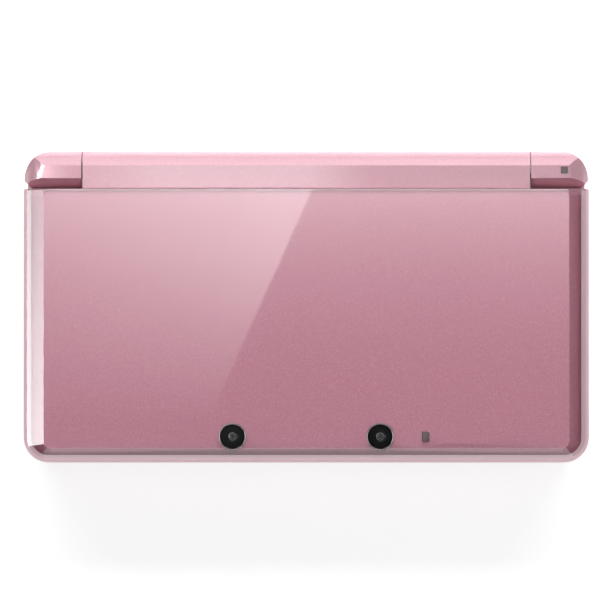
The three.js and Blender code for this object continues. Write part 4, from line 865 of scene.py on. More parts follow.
@made_once
def cross_screw(name):
    """A pan head screw with a cross recess, its head down and its shank up."""
    tree, entries, result = geometry_group(name, {
        "Place": VECTOR, "Head radius": 0.002, "Head height": 0.0009, "Shank radius": 0.0009,
        "Shank length": 0.0032, "Slot width": 0.0005, "Slot depth": 0.0005})

    def drum(radius, depth, level, top_radius=None):
        cone = added(tree, "GeometryNodeMeshCone", Vertices=40, Radius_Bottom=radius,
                     Radius_Top=top_radius or radius, Depth=depth)
        return added(tree, "GeometryNodeTransform", Geometry=cone, Translation=vector_of(tree, {2: level}))

    def combined(operation, body, parts):
        node = tree.nodes.new("GeometryNodeMeshBoolean")
        node.operation, node.solver = operation, "EXACT"
        if body:
            link(tree, body, node.inputs["Mesh 1"])
        for part in parts:
            link(tree, part, node.inputs["Mesh 2"])
        return node.outputs["Mesh"]

    head_height = entries["Head height"]
    crown_height = maths(tree, "MULTIPLY", head_height, 0.35)
    crown_radius = maths(tree, "MULTIPLY", entries["Head radius"], 0.78)
    crown = drum(crown_radius, crown_height, 0.0, entries["Head radius"])
    rest_height = maths(tree, "SUBTRACT", head_height, crown_height)
    head = drum(entries["Head radius"], rest_height, crown_height)
    shank = drum(entries["Shank radius"], entries["Shank length"], head_height)
    solid = combined("UNION", None, (crown, head, shank))
    length = maths(tree, "MULTIPLY", entries["Head radius"], 1.15)
    depth = maths(tree, "MULTIPLY", entries["Slot depth"], 2.0)
    slots = [
        added(tree, "GeometryNodeMeshCube",
              Size=vector_of(tree, {axis: length, 1 - axis: entries["Slot width"], 2: depth}))
        for axis in (0, 1)]
    recessed = combined("DIFFERENCE", solid, slots)
    point = line_of_points(tree, 1, entries["Place"], (0, 0, 0))
    link(tree, instanced(tree, point, recessed, entries["Material"], smooth=False), result)
    return tree


@made_once
def row_of_chips(name):
    """Chips in a row on the board, each with a leg row down either side."""
    tree, entries, result = geometry_group(name, {
        "Count": 3, "Start": VECTOR, "Step": VECTOR, "Size": VECTOR, "Legs": 8, "Leg material": MATERIAL})
    axes = split_vector(tree, entries["Size"])
    slab = added(tree, "GeometryNodeMeshCube", Size=entries["Size"])
    body = realized(tree, slab, entries["Material"], smooth=False)
    leg_step = maths(tree, "DIVIDE", axes[1], maths(tree, "ADD", entries["Legs"], 1.0))
    legs = []
    for sign in (-1, 1):
        start = vector_of(tree, {
            0: maths(tree, "MULTIPLY", axes[0], 0.53 * sign),
            1: maths(tree, "ADD", maths(tree, "MULTIPLY", axes[1], -0.5), leg_step),
            2: maths(tree, "MULTIPLY", axes[2], -0.3)})
        reach = vector_of(tree, {0: maths(tree, "MULTIPLY", axes[0], 0.12)})
        ends = [vector_maths(tree, "SCALE", reach, share) for share in (-0.5, 0.5)]
        leg = wire(tree, *ends, maths(tree, "MULTIPLY", axes[2], 0.15), 6)
        points = line_of_points(tree, entries["Legs"], start, vector_of(tree, {1: leg_step}))
        legs.append(instanced(tree, points, leg, entries["Leg material"]))
    points = line_of_points(tree, entries["Count"], entries["Start"], entries["Step"])
    spread = added(tree, "GeometryNodeInstanceOnPoints", Points=points, Instance=joined(tree, body, *legs))
    link(tree, added(tree, "GeometryNodeRealizeInstances", Geometry=spread), result)
    return tree


def grown(name, tree, finish, body, *nodes, **values):
    """A piece made by one tree with these inputs, kept as a plain mesh."""
    piece = as_object(name, bpy.data.meshes.new(name))
    growth = piece.modifiers.new("growth", "NODES")
    growth.node_group = tree
    values["Material"] = finish
    for item in tree.interface.items_tree:
        if item.item_type == "SOCKET" and item.in_out == "INPUT":
            label = item.name.replace(" ", "_")
            if label in values:
                growth[item.identifier] = values[label]
    baked(piece)
    if not piece.data.polygons:
        raise RuntimeError("nothing grew for " + name)
    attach(piece, body)
    if nodes:
        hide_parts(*nodes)
    return piece


def sizes():
    return bpy.context.scene.console_sizes


# The lid

class CONSOLE_OT_lid_cover(Operator):
    """Makes the clear cover and the painted panel with its skirt"""
    bl_idname = "console.lid_cover"
    bl_label = "Lid cover"

    def execute(self, context):
        edge = finishes().edge_round
        softened("lid_clear_cover", "lid_cover", clear_plastic("clear_polycarbonate"), edge * 0.7,
                 slot="clear_cover", prepare=self.round_ridge)
        softened("lid_colour_panel", "lid_panel", panel_finish(), 0.0, slot="pearl_panel",
                 prepare=self.press_into_cover)
        self.make_rim_lining()
        return {"FINISHED"}

    def make_rim_lining(self):
        """A rounded pearl band inside the clear rim, and a narrow strip along its back, both paler than the
        panel: a painted highlight for the light that the rim's rounding and the cover's back edge catch.
        """
        bottom, top = low("lid_clear_cover"), high("lid_clear_cover")
        corner_radius, back = 5.9 * MM, top.y - 0.3 * MM
        foot, steps = 0.08, 10
        rows = []
        for inset, level in (
                (1.85, 1.95), (1.2, 1.8), (0.75, 1.5), (0.45, 1.1), (0.3, 0.6), (0.25, foot), (1.85, foot)):
            inset, level = inset * MM, bottom.z + level * MM
            radius = corner_radius - inset
            row = [(bottom.x + inset, back, level)]
            for side in (-1, 1):
                for step in range(steps + 1):
                    turn = math.pi / 2 * (step / steps if side < 0 else 1 - step / steps)
                    x = (bottom.x if side < 0 else top.x) - side * (inset + radius - radius * math.cos(turn))
                    row.append((x, bottom.y + inset + radius - radius * math.sin(turn), level))
            row.append((top.x - inset, back, level))
            rows.append(row)
        made = bmesh.new()
        add_bar(made, list(zip(*rows)))
        reach, near, far = top.x - 5 * MM, top.y - 0.32 * MM, top.y - 0.12 * MM
        strip = ((-reach, near), (reach, near), (reach, far), (-reach, far))
        add_plate(made, strip, bottom.z + foot * MM, top.z - 0.3 * MM)
        bmesh.ops.recalc_face_normals(made, faces=made.faces)
        lining = built("rim_lining", made, 50)
        settle(lining, rim_finish(), "lid", slot="pearl_panel")

    def round_ridge(self, made):
        """Rounds the ridge where the cover's flat top turns down into its bevelled rim."""
        top = high("lid_clear_cover").z
        least, most = 4, 40
        ridge = []
        for edge in made.edges:
            level = all(abs(corner.co.z - top) < LEVEL for corner in edge.verts)
            if level and least < math.degrees(edge.calc_face_angle(0.0)) < most:
                ridge.append(edge)
        bmesh.ops.bevel(
            made, geom=ridge, offset=sizes().ridge_round, offset_type="OFFSET", segments=4, profile=0.5,
            affect="EDGES", clamp_overlap=True)

    def press_into_cover(self, made):
        """The paint lies on the cover itself: the panel's outside goes a little way into it."""
        middle = centre_of("lid_colour_panel")
        depth = sizes().paint_contact
        inner_half_width, inner_half_depth, upright, lift = 60 * MM, 29.5 * MM, 0.3, 0.05 * MM
        moves = {}
        for face in made.faces:
            out = face.normal.copy()
            out.z = 0
            place = face.calc_center_median() - middle
            if out.length < upright or out.x * place.x + out.y * place.y < 0:
                continue
            if abs(place.x) < inner_half_width and abs(place.y) < inner_half_depth:
                continue
            for corner in face.verts:
                moves[corner] = moves.get(corner, Vector((0, 0, 0))) + out.normalized()
        for corner, out in moves.items():
            corner.co += out.normalized() * depth
        roof = high("lid_colour_panel").z
        for corner in made.verts:
            if abs(corner.co.z - roof) < LEVEL:
                corner.co.z += lift


class CONSOLE_OT_shells(Operator):
    """Makes the moulded shells of the lid and of the base"""
    bl_idname = "console.shells"
    bl_label = "Shells"

    def execute(self, context):
        edge = finishes().edge_round
        softened("lid_housing", "lid_shell", shell_finish(), edge, slot="pink_shell")
        softened("base_top_shell", "base_shell_top", shell_finish(), edge, slot="pink_shell")
        softened("base_bottom_shell", "base_shell_bottom", matt_black(), edge, slot="black_matte")
        softened("battery_cover", "base_cover", shell_finish(), edge, slot="pink_shell")
        return {"FINISHED"}


class CONSOLE_OT_cameras(Operator):
    """Makes the outer camera pair, the inner camera and their rings"""
    bl_idname = "console.cameras"
    bl_label = "Cameras"

    def execute(self, context):
        for side in ("left", "right"):
            self.make_ring(side)
            self.make_lens(side)
        self.make_inner_camera()
        softened("outer_camera_module", "camera_board", matt_black(), 0.0, slot="black_matte")
        return {"FINISHED"}

    def make_ring(self, side):
        node = "camera_ring_" + side
        bottom, top = low(node), high(node)
        outer = radius_of(node)
        wall, lip = 0.22 * MM, 0.09 * MM
        inner, shoulder = outer - wall, lip * 0.3
        profile = [
            (inner, bottom.z), (outer, bottom.z), (outer, top.z - lip), (outer - shoulder, top.z - shoulder),
            (outer - lip, top.z), (inner + lip, top.z), (inner + shoulder, top.z - shoulder),
            (inner, top.z - lip)]
        ring = lathed("camera_trim_" + side, centre_of(node), profile, steps=96)
        settle(ring, silver_finish(), body_of(node), node, slot="silver_trim")

    def make_lens(self, side):
        node = "camera_lens_" + side
        bottom, top = low(node), high(node)
        edge = radius_of(node)
        eye, chamfer, dish, crown = 0.95 * MM, 0.1 * MM, 0.28 * MM, 0.2 * MM
        profile = [
            (0, bottom.z), (edge, bottom.z), (edge, top.z - chamfer), (edge - chamfer, top.z),
            (edge - 0.16 * MM, top.z), (1.41 * MM, top.z), (1.35 * MM, top.z),
            (1.15 * MM, top.z - 0.06 * MM), (eye, top.z - dish), (0, top.z - 0.3 * MM)]
        lens = lathed("camera_glass_" + side, centre_of(node), profile, steps=96)
        settle(lens, gloss_black(), body_of(node), node, slot="black_gloss")
        rim, foot = eye * 0.98, top.z - 0.27 * MM
        dome = [(0, top.z - 0.32 * MM), (rim, top.z - 0.3 * MM)]
        dome += [(rim * math.cos(turn), foot + crown * math.sin(turn)) for turn in (0.0, 0.3, 0.6, 0.9, 1.2)]
        dome.append((0, foot + crown))
        settle(lathed("camera_eye_" + side, centre_of(node), dome), camera_eye("camera_eye", eye),
               body_of(node), slot="black_gloss")

    def make_inner_camera(self):
        node = "inner_camera"
        bottom, top = low(node).z, high(node).z
        flange, barrel, edge = radius_of(node), 1.7 * MM, 0.12 * MM
        profile = [
            (0, top), (flange, top), (flange, top - 0.4 * MM), (barrel, top - 0.4 * MM),
            (barrel, bottom + edge), (barrel - edge, bottom), (1.1 * MM, bottom),
            (0.75 * MM, bottom + 0.3 * MM), (0, bottom + 0.22 * MM)]
        settle(lathed("inner_camera_barrel", centre_of(node), profile), gloss_black(), "lid", node,
               slot="black_gloss")


class CONSOLE_OT_lights(Operator):
    """Makes the small windows over the camera light, the notification light and the status lights"""
    bl_idname = "console.lights"
    bl_label = "Lights"

    def execute(self, context):
        for node, name in (
                ("camera_light_window", "camera_light"), ("notification_light", "notification_window"),
                ("status_light_guide", "status_lights")):
            softened(node, name, light_finish(), 0.08 * MM, slot="white_plastic")
        softened("infrared_window", "infrared_port", gloss_black(), 0.15 * MM, slot="black_gloss")
        return {"FINISHED"}


class CONSOLE_OT_upper_screen(Operator):
    """Makes the upper screen's glass and display, the speakers and their gauze"""
    bl_idname = "console.upper_screen"
    bl_label = "Upper screen"

    def execute(self, context):
        softened("upper_screen_lens", "upper_glass", upper_screen(), 0.12 * MM, slot="screen")
        softened("upper_display", "upper_panel", display_finish(), 0.2 * MM, slot="screen")
        for side in ("left", "right"):
            node = "speaker_" + side
            softened(node, node + "_box", matt_black(), 0.3 * MM, segments=3, slot="black_matte")
            self.make_gauze(side)
            softened("lid_bumper_" + side, "lid_stop_" + side, rubber_finish(), 0.1 * MM, slot="rubber")
        return {"FINISHED"}

    def make_gauze(self, side):
        node = "speaker_" + side
        middle = centre_of(node)
        pitch = sizes().gauze_pitch
        width, depth, gap = 4.4 * MM, 7 * MM, 0.12 * MM
        columns, rows = int(width / pitch), int(depth / pitch)
        corner = (middle.x - columns * pitch / 2, middle.y - rows * pitch / 2, low(node).z - gap)
        grown("speaker_gauze_" + side, woven_gauze(), steel_finish(), "lid", Corner=corner, Columns=columns,
              Rows=rows, Pitch=pitch, Wire=sizes().gauze_wire)


class CONSOLE_OT_hinge(Operator):
    """Makes the hardware inside the hinge"""
    bl_idname = "console.hinge"
    bl_label = "Hinge"

    def execute(self, context):
        softened("hinge_cartridge", "hinge_spring_case", steel_finish(), 0.15 * MM, slot="steel")
        softened("hinge_bushing", "hinge_cable_bushing", matt_black(), 0.15 * MM, slot="black_matte")
        softened("hinge_shaft", "hinge_pin", steel_finish(), 0.1 * MM, slot="steel")
        bottom, top = low("hinge_cartridge"), high("hinge_cartridge")
        radius = (top.z - bottom.z) / 2
        within, proud = radius - 0.2 * MM, radius + 0.06 * MM
        collars = []
        for step in range(3):
            x = bottom.x + (2 + 4.5 * step) * MM
            profile = [(within, x), (radius, x), (proud, x + 0.2 * MM), (proud, x + 0.6 * MM),
                       (radius, x + 0.8 * MM), (within, x + 0.8 * MM)]
            collars.append(turned_along_x("collar", (bottom + top) / 2, profile))
        settle(merged("hinge_collars", collars), steel_finish(), body_of("hinge_cartridge"), slot="steel")
        return {"FINISHED"}


# The controls

class CONSOLE_OT_buttons(Operator):
    """Makes the round buttons, the menu keys and the power button"""
    bl_idname = "console.buttons"
    bl_label = "Buttons"

    def execute(self, context):
        for side in ("right", "bottom", "top", "left"):
            softened("face_button_" + side, "button_" + side, control_finish(), sizes().button_round,
                     angle=40, segments=5, slot="black_matte")
        for side in ("left", "middle", "right"):
            softened("menu_key_" + side, "key_" + side, control_finish(), sizes().key_round, segments=3,
                     slot="black_matte")
        softened("power_button", "power_key", control_finish(), sizes().key_round, segments=3,
                 slot="black_matte")
        self.make_power_mark()
        softened("face_button_mat", "button_mat", silicone_finish(), 0.15 * MM, slot="rubber")
        return {"FINISHED"}

    def make_power_mark(self):
        """The usual ring with a gap and a stroke, standing a hair above the button."""
        middle, top = centre_of("power_button"), high("power_button").z
        outer, inner = 1.25 * MM, 1.02 * MM
        foot, crest = top - 0.05 * MM, top + sizes().mark_depth
        half_width, corner_radius, start, end = 0.12 * MM, 0.08 * MM, 0.35 * MM, 1.45 * MM
        corners = ((inner, foot), (outer, foot), (outer, crest), (inner, crest))
        made = bmesh.new()
        sections = []
        for step in range(41):
            turn = math.radians(120 + 300 * step / 40)
            across, along = math.cos(turn), math.sin(turn)
            sections.append([(middle.x + radius * across, middle.y + radius * along, height)
                             for radius, height in corners])
        add_bar(made, sections)
        stroke = rounded_outline(middle.x - half_width, middle.x + half_width, middle.y + start,
                                 middle.y + end, corner_radius, 3)
        add_plate(made, stroke, foot, crest)
        bmesh.ops.recalc_face_normals(made, faces=made.faces)
        mark = built("power_mark", made)
        settle(mark, white_finish(), body_of("power_button"), slot="white_plastic")


class CONSOLE_OT_pads(Operator):
    """Makes the circle pad and the direction pad"""
    bl_idname = "console.pads"
    bl_label = "Pads"

    def execute(self, context):
        self.make_circle_pad()
        softened("circle_pad_carriage", "circle_pad_slide", matt_black(), 0.1 * MM, slot="black_matte")
        softened("direction_pad", "cross_pad", control_finish(), 0.45 * MM, angle=40, segments=4,
                 slot="black_matte", prepare=self.lift_arm_ends)
        softened("direction_pad_rocker", "cross_pad_rocker", matt_black(), 0.08 * MM, slot="black_matte")
        self.make_direction_marks()
        return {"FINISHED"}

    def make_circle_pad(self):
        bottom, top, outer = low("circle_pad"), high("circle_pad"), radius_of("circle_pad")
        stem, under, side_top = 2.2 * MM, top.z - 1.8 * MM, top.z - 0.75 * MM
        rim, grip = 0.7 * MM, outer - 1.5 * MM
        inner, dish, dish_rim = grip - 0.3 * MM, sizes().pad_dish, top.z - 0.1 * MM
        profile = [(0, bottom.z), (stem - 0.2 * MM, bottom.z), (stem, bottom.z + 0.2 * MM), (stem, under),
                   (outer - 0.3 * MM, under), (outer, under + 0.3 * MM), (outer, side_top)]
        profile += [(outer - rim + rim * math.cos(turn), top.z - rim + rim * math.sin(turn))
                    for turn in (0.25, 0.6, 0.95, 1.3, math.pi / 2)]
        profile += [(outer - 1.0 * MM, top.z), (grip + 0.15 * MM, top.z - 0.04 * MM),
                    (grip, top.z - 0.16 * MM), (grip - 0.15 * MM, dish_rim)]
        profile += [(inner * share, dish_rim - dish * (1 - share * share))
                    for share in (1.0, 0.85, 0.7, 0.55, 0.4, 0.25, 0.1, 0)]
        pad = lathed("circle_pad_cap", centre_of("circle_pad"), profile, steps=96)
        settle(pad, white_finish(), body_of("circle_pad"), "circle_pad", slot="white_plastic")

    def make_direction_marks(self):
        """Small plain triangles that point outwards on the four arms."""
        middle, top = centre_of("direction_pad"), high("direction_pad").z
        tip, base, half_width = 8.4 * MM, 6.9 * MM, 1.0 * MM
        made = bmesh.new()
        for quarter in range(4):
            across, along = math.cos(math.pi / 2 * quarter), math.sin(math.pi / 2 * quarter)
            outline = [(middle.x + out * across - side * along, middle.y + out * along + side * across)
                       for out, side in ((tip, 0.0), (base, half_width), (base, -half_width))]
            add_plate(made, outline, top - 0.08 * MM, top + sizes().mark_depth)
        bmesh.ops.recalc_face_normals(made, faces=made.faces)
        marks = built("direction_marks", made, CREASE)
        settle(marks, light_finish(), body_of("direction_pad"), slot="white_plastic")

    def lift_arm_ends(self, made):
        """Lifts the underside of the arms' ends, so that a tilt to a corner clears the board."""
        middle, bottom = centre_of("direction_pad"), low("direction_pad").z
        end, lift = 9 * MM, 0.15 * MM
        for corner in made.verts:
            reach = max(abs(corner.co.x - middle.x), abs(corner.co.y - middle.y))
            if reach > end and corner.co.z < bottom + 5 * LEVEL:
                corner.co.z += lift


# A rib's radius over how far it stands out of its knob
RIB_RADIUS_SHARE = 1.4


class CONSOLE_OT_edge_controls(Operator):
    """Makes what is worked from the sides: shoulder buttons, sliders, the card door"""
    bl_idname = "console.edge_controls"
    bl_label = "Edge controls"

    def execute(self, context):
        for side in ("left", "right"):
            softened(side + "_shoulder_button", "shoulder_" + side, shell_finish(), 0.4 * MM, angle=40,
                     segments=3, slot="pink_shell")
        for node, name in (("volume_slider", "volume_knob"), ("wireless_switch", "wireless_knob"),
                           ("depth_slider", "depth_knob")):
            softened(node, name, white_finish(), 0.12 * MM, slot="white_plastic")
        softened("memory_card_door", "card_door", matt_black(), 0.15 * MM, slot="black_matte")
        levels, margin = (5.3 * MM, 6.7 * MM), 0.6 * MM
        self.make_ribs("volume_ribs", "volume_slider", -1, 5 * MM, levels)
        self.make_ribs("wireless_ribs", "wireless_switch", 1, 4.5 * MM, levels)
        levels = (low("depth_slider").z + margin, high("depth_slider").z - margin)
        self.make_ribs("depth_ribs", "depth_slider", 1, 5 * MM, levels)
        return {"FINISHED"}

    def make_ribs(self, name, node, sign, length, levels):
        """Finger ribs that stand upright on a knob's outer face."""
        face = high(node).x if sign > 0 else low(node).x
        pitch, end_gaps = sizes().rib_pitch, 0.8 * MM
        count = int((length - end_gaps) / pitch)
        proud = min(sizes().rib_proud, high("base_top_shell").x - abs(face))
        radius = proud * RIB_RADIUS_SHARE
        start = (face - sign * (radius - proud), centre_of(node).y - (count - 1) * pitch / 2,
                 (levels[0] + levels[1]) / 2)
        grown(name, rib_row(), white_finish(), body_of(node), Count=count, Start=start, Step=(0, pitch, 0),
              Along=(0, 0, levels[1] - levels[0]), Radius=radius)


class CONSOLE_OT_stylus(Operator):
    """Makes the stylus: its barrel, its rod and its nib"""
    bl_idname = "console.stylus"
    bl_label = "Stylus"

    def execute(self, context):
        self.make_barrel()
        self.make_rod()
        return {"FINISHED"}

    def make_barrel(self):
        node = "stylus_barrel"
        front, back, middle = low(node).y, high(node).y, centre_of(node)
        outer, bore, depth = radius_of(node), 1.2 * MM, 26.1 * MM
        groove_wall = outer - 0.12 * MM
        profile = [(bore, front), (outer - 0.15 * MM, front), (outer, front + 0.15 * MM)]
        for step in range(4):
            groove = back - (9 - 1.2 * step) * MM
            profile += [(outer, groove), (groove_wall, groove + 0.15 * MM),
                        (groove_wall, groove + 0.35 * MM), (outer, groove + 0.5 * MM)]
        profile += [(outer, back - 0.8 * MM), (groove_wall, back - 0.35 * MM),
                    (outer - 0.45 * MM, back - 0.08 * MM), (outer - 0.9 * MM, back), (0, back)]
        inside = [(bore, front + depth), (0, front + depth)]
        barrel = turned_along_y("stylus_tube", middle, list(reversed(profile)) + inside)
        settle(barrel, matt_black(), body_of(node), node, slot="black_matte")

    def make_rod(self):
        front, back, middle = low("stylus_rod").y, high("stylus_rod").y, centre_of("stylus_rod")
        head, thin = radius_of("stylus_rod"), 1.1 * MM
        end = low("stylus_barrel").y - 0.1 * MM
        neck, nib_end, edge = head * 0.93, front + 2.3 * MM, 0.15 * MM
        rod = [(0, nib_end), (neck, nib_end), (head, front + 2.6 * MM), (head, end - edge),
               (head - edge, end), (thin, end), (thin, back - 0.2 * MM), (thin - 0.2 * MM, back),
               (0, back)]
        nib = [(0, front), (0.25 * MM, front + 0.03 * MM), (0.48 * MM, front + 0.2 * MM),
               (0.62 * MM, front + 0.5 * MM), (neck, front + 2.2 * MM), (neck, front + 2.4 * MM),
               (0, front + 2.4 * MM)]
        for name, profile, finish, nodes in (
                ("stylus_inner_rod", rod, steel_finish(), ("stylus_rod",)),
                ("stylus_nib", nib, white_finish(), ())):
            piece = turned_along_y(name, middle, profile)
            settle(piece, finish, body_of("stylus_rod"), *nodes, slot="black_matte")


# Inside and underneath

class CONSOLE_OT_inside(Operator):
    """Makes the board, its chips, the displays, the battery and the sockets"""
    bl_idname = "console.inside"
    bl_label = "Inside"

    def execute(self, context):
        softened("main_board", "circuit_board", board_lacquer("board_lacquer"), 0.05 * MM, slot="board")
        softened("touch_screen_glass", "touch_glass", touch_screen(), 0.1 * MM, slot="screen")
        softened("lower_display", "lower_panel", display_finish(), 0.2 * MM, slot="screen")
        softened("battery_pack", "battery", label_finish(), 0.9 * MM, segments=4, slot="black_matte")
        for node, name in (("game_card_connector", "card_socket"), ("memory_card_reader", "card_reader")):
            softened(node, name, steel_finish(), 0.12 * MM, slot="steel")
        for node, name in (("power_jack", "charge_socket"), ("headphone_jack", "phone_socket")):
            softened(node, name, matt_black(), 0.1 * MM, slot="black_matte")
        self.make_chips()
        self.make_contacts()
        self.make_phone_sleeve()
        return {"FINISHED"}

    def make_chips(self):
        half_height = 0.32 * MM
        level = low("main_board").z - half_height
        for name, count, start, step, size, legs in (
                ("chips_main", 3, (-30 * MM, -12 * MM), 15 * MM, (9 * MM, 9 * MM, 0.6 * MM), 12),
                ("chips_small", 6, (-32 * MM, -25 * MM), 5.2 * MM, (2.8 * MM, 3.6 * MM, 0.6 * MM), 5)):
            grown(name, row_of_chips(), chip_finish(), "base", Count=count, Start=(*start, level),
                  Step=(step, 0, 0), Size=size, Legs=legs, Leg_material=steel_finish())

    def make_contacts(self):
        """Rows of gold springs in the two card slots, in the power socket and on the battery."""
        card, reader = low("game_card_connector"), low("memory_card_reader")
        power, battery = centre_of("power_jack"), high("battery_pack")
        for name, count, start, step, along, radius in (
                ("card_contacts", 17, (-14.4 * MM, card.y + 6 * MM, card.z + 0.42 * MM), (1.8 * MM, 0, 0),
                 (0, 7 * MM, 0), 0.2 * MM),
                ("reader_contacts", 9, (reader.x + 22 * MM, -10 * MM, reader.z + 0.55 * MM), (0, 2.5 * MM, 0),
                 (5 * MM, 0, 0), 0.2 * MM),
                ("power_contacts", 5, (power.x - 3 * MM, power.y + 1 * MM, power.z - 0.85 * MM),
                 (1.5 * MM, 0, 0), (0, 4 * MM, 0), 0.2 * MM),
                ("battery_contacts", 3, (battery.x - 14 * MM, battery.y - 0.02 * MM, battery.z - 2.2 * MM),
                 (3 * MM, 0, 0), (0, 0, 2 * MM), 0.35 * MM)):
            grown(name, rib_row(), gold_finish(), "base", Count=count, Start=start, Step=step, Along=along,
                  Radius=radius)

    def make_phone_sleeve(self):
        front, middle = low("headphone_jack").y, centre_of("headphone_jack")
        inner, outer, waist = 1.62 * MM, 2.12 * MM, 1.74 * MM
        face, end = front - 0.02 * MM, front + 2 * MM
        profile = [(inner, end), (inner, front + 0.1 * MM), (inner + 0.1 * MM, face),
                   (outer - 0.1 * MM, face), (outer, front + 0.08 * MM), (outer, front + 0.3 * MM),
                   (waist, front + 0.3 * MM), (waist, end)]
        sleeve = turned_along_y("phone_sleeve", middle, profile, 64)
        settle(sleeve, silver_finish(), "base", slot="silver_trim")


class CONSOLE_OT_underside(Operator):
    """Makes the feet and the screws of the cover"""
    bl_idname = "console.underside"
    bl_label = "Underside"

    def execute(self, context):
        for node in ("foot_front_left", "foot_front_right", "foot_back_left", "foot_back_right"):
            bottom, top = low(node).z, high(node).z
            outer, round_off = radius_of(node), 0.5 * MM
            core, level = outer - round_off, bottom + round_off
            profile = [(0, bottom), (core, bottom)]
            profile += [(core + round_off * math.sin(turn), level - round_off * math.cos(turn))
                        for turn in (0.4, 0.8, 1.2, math.pi / 2)]
            profile += [(outer, top), (0, top)]
            foot = lathed(node.replace("foot", "pad"), centre_of(node), profile)
            settle(foot, rubber_finish(), "base", node, slot="rubber")
        for side in ("left", "right"):
            node = "cover_screw_" + side
            bottom, top, middle = low(node), high(node), centre_of(node)
            head, shank = 0.9 * MM, 0.9 * MM
            grown("screw_" + side, cross_screw(), steel_finish(), "base", node,
                  Place=(middle.x, middle.y, bottom.z), Head_radius=radius_of(node), Head_height=head,
                  Shank_radius=shank, Shank_length=top.z - bottom.z - head,
                  Slot_width=sizes().recess_width, Slot_depth=sizes().recess_depth)
        return {"FINISHED"}


# The stage

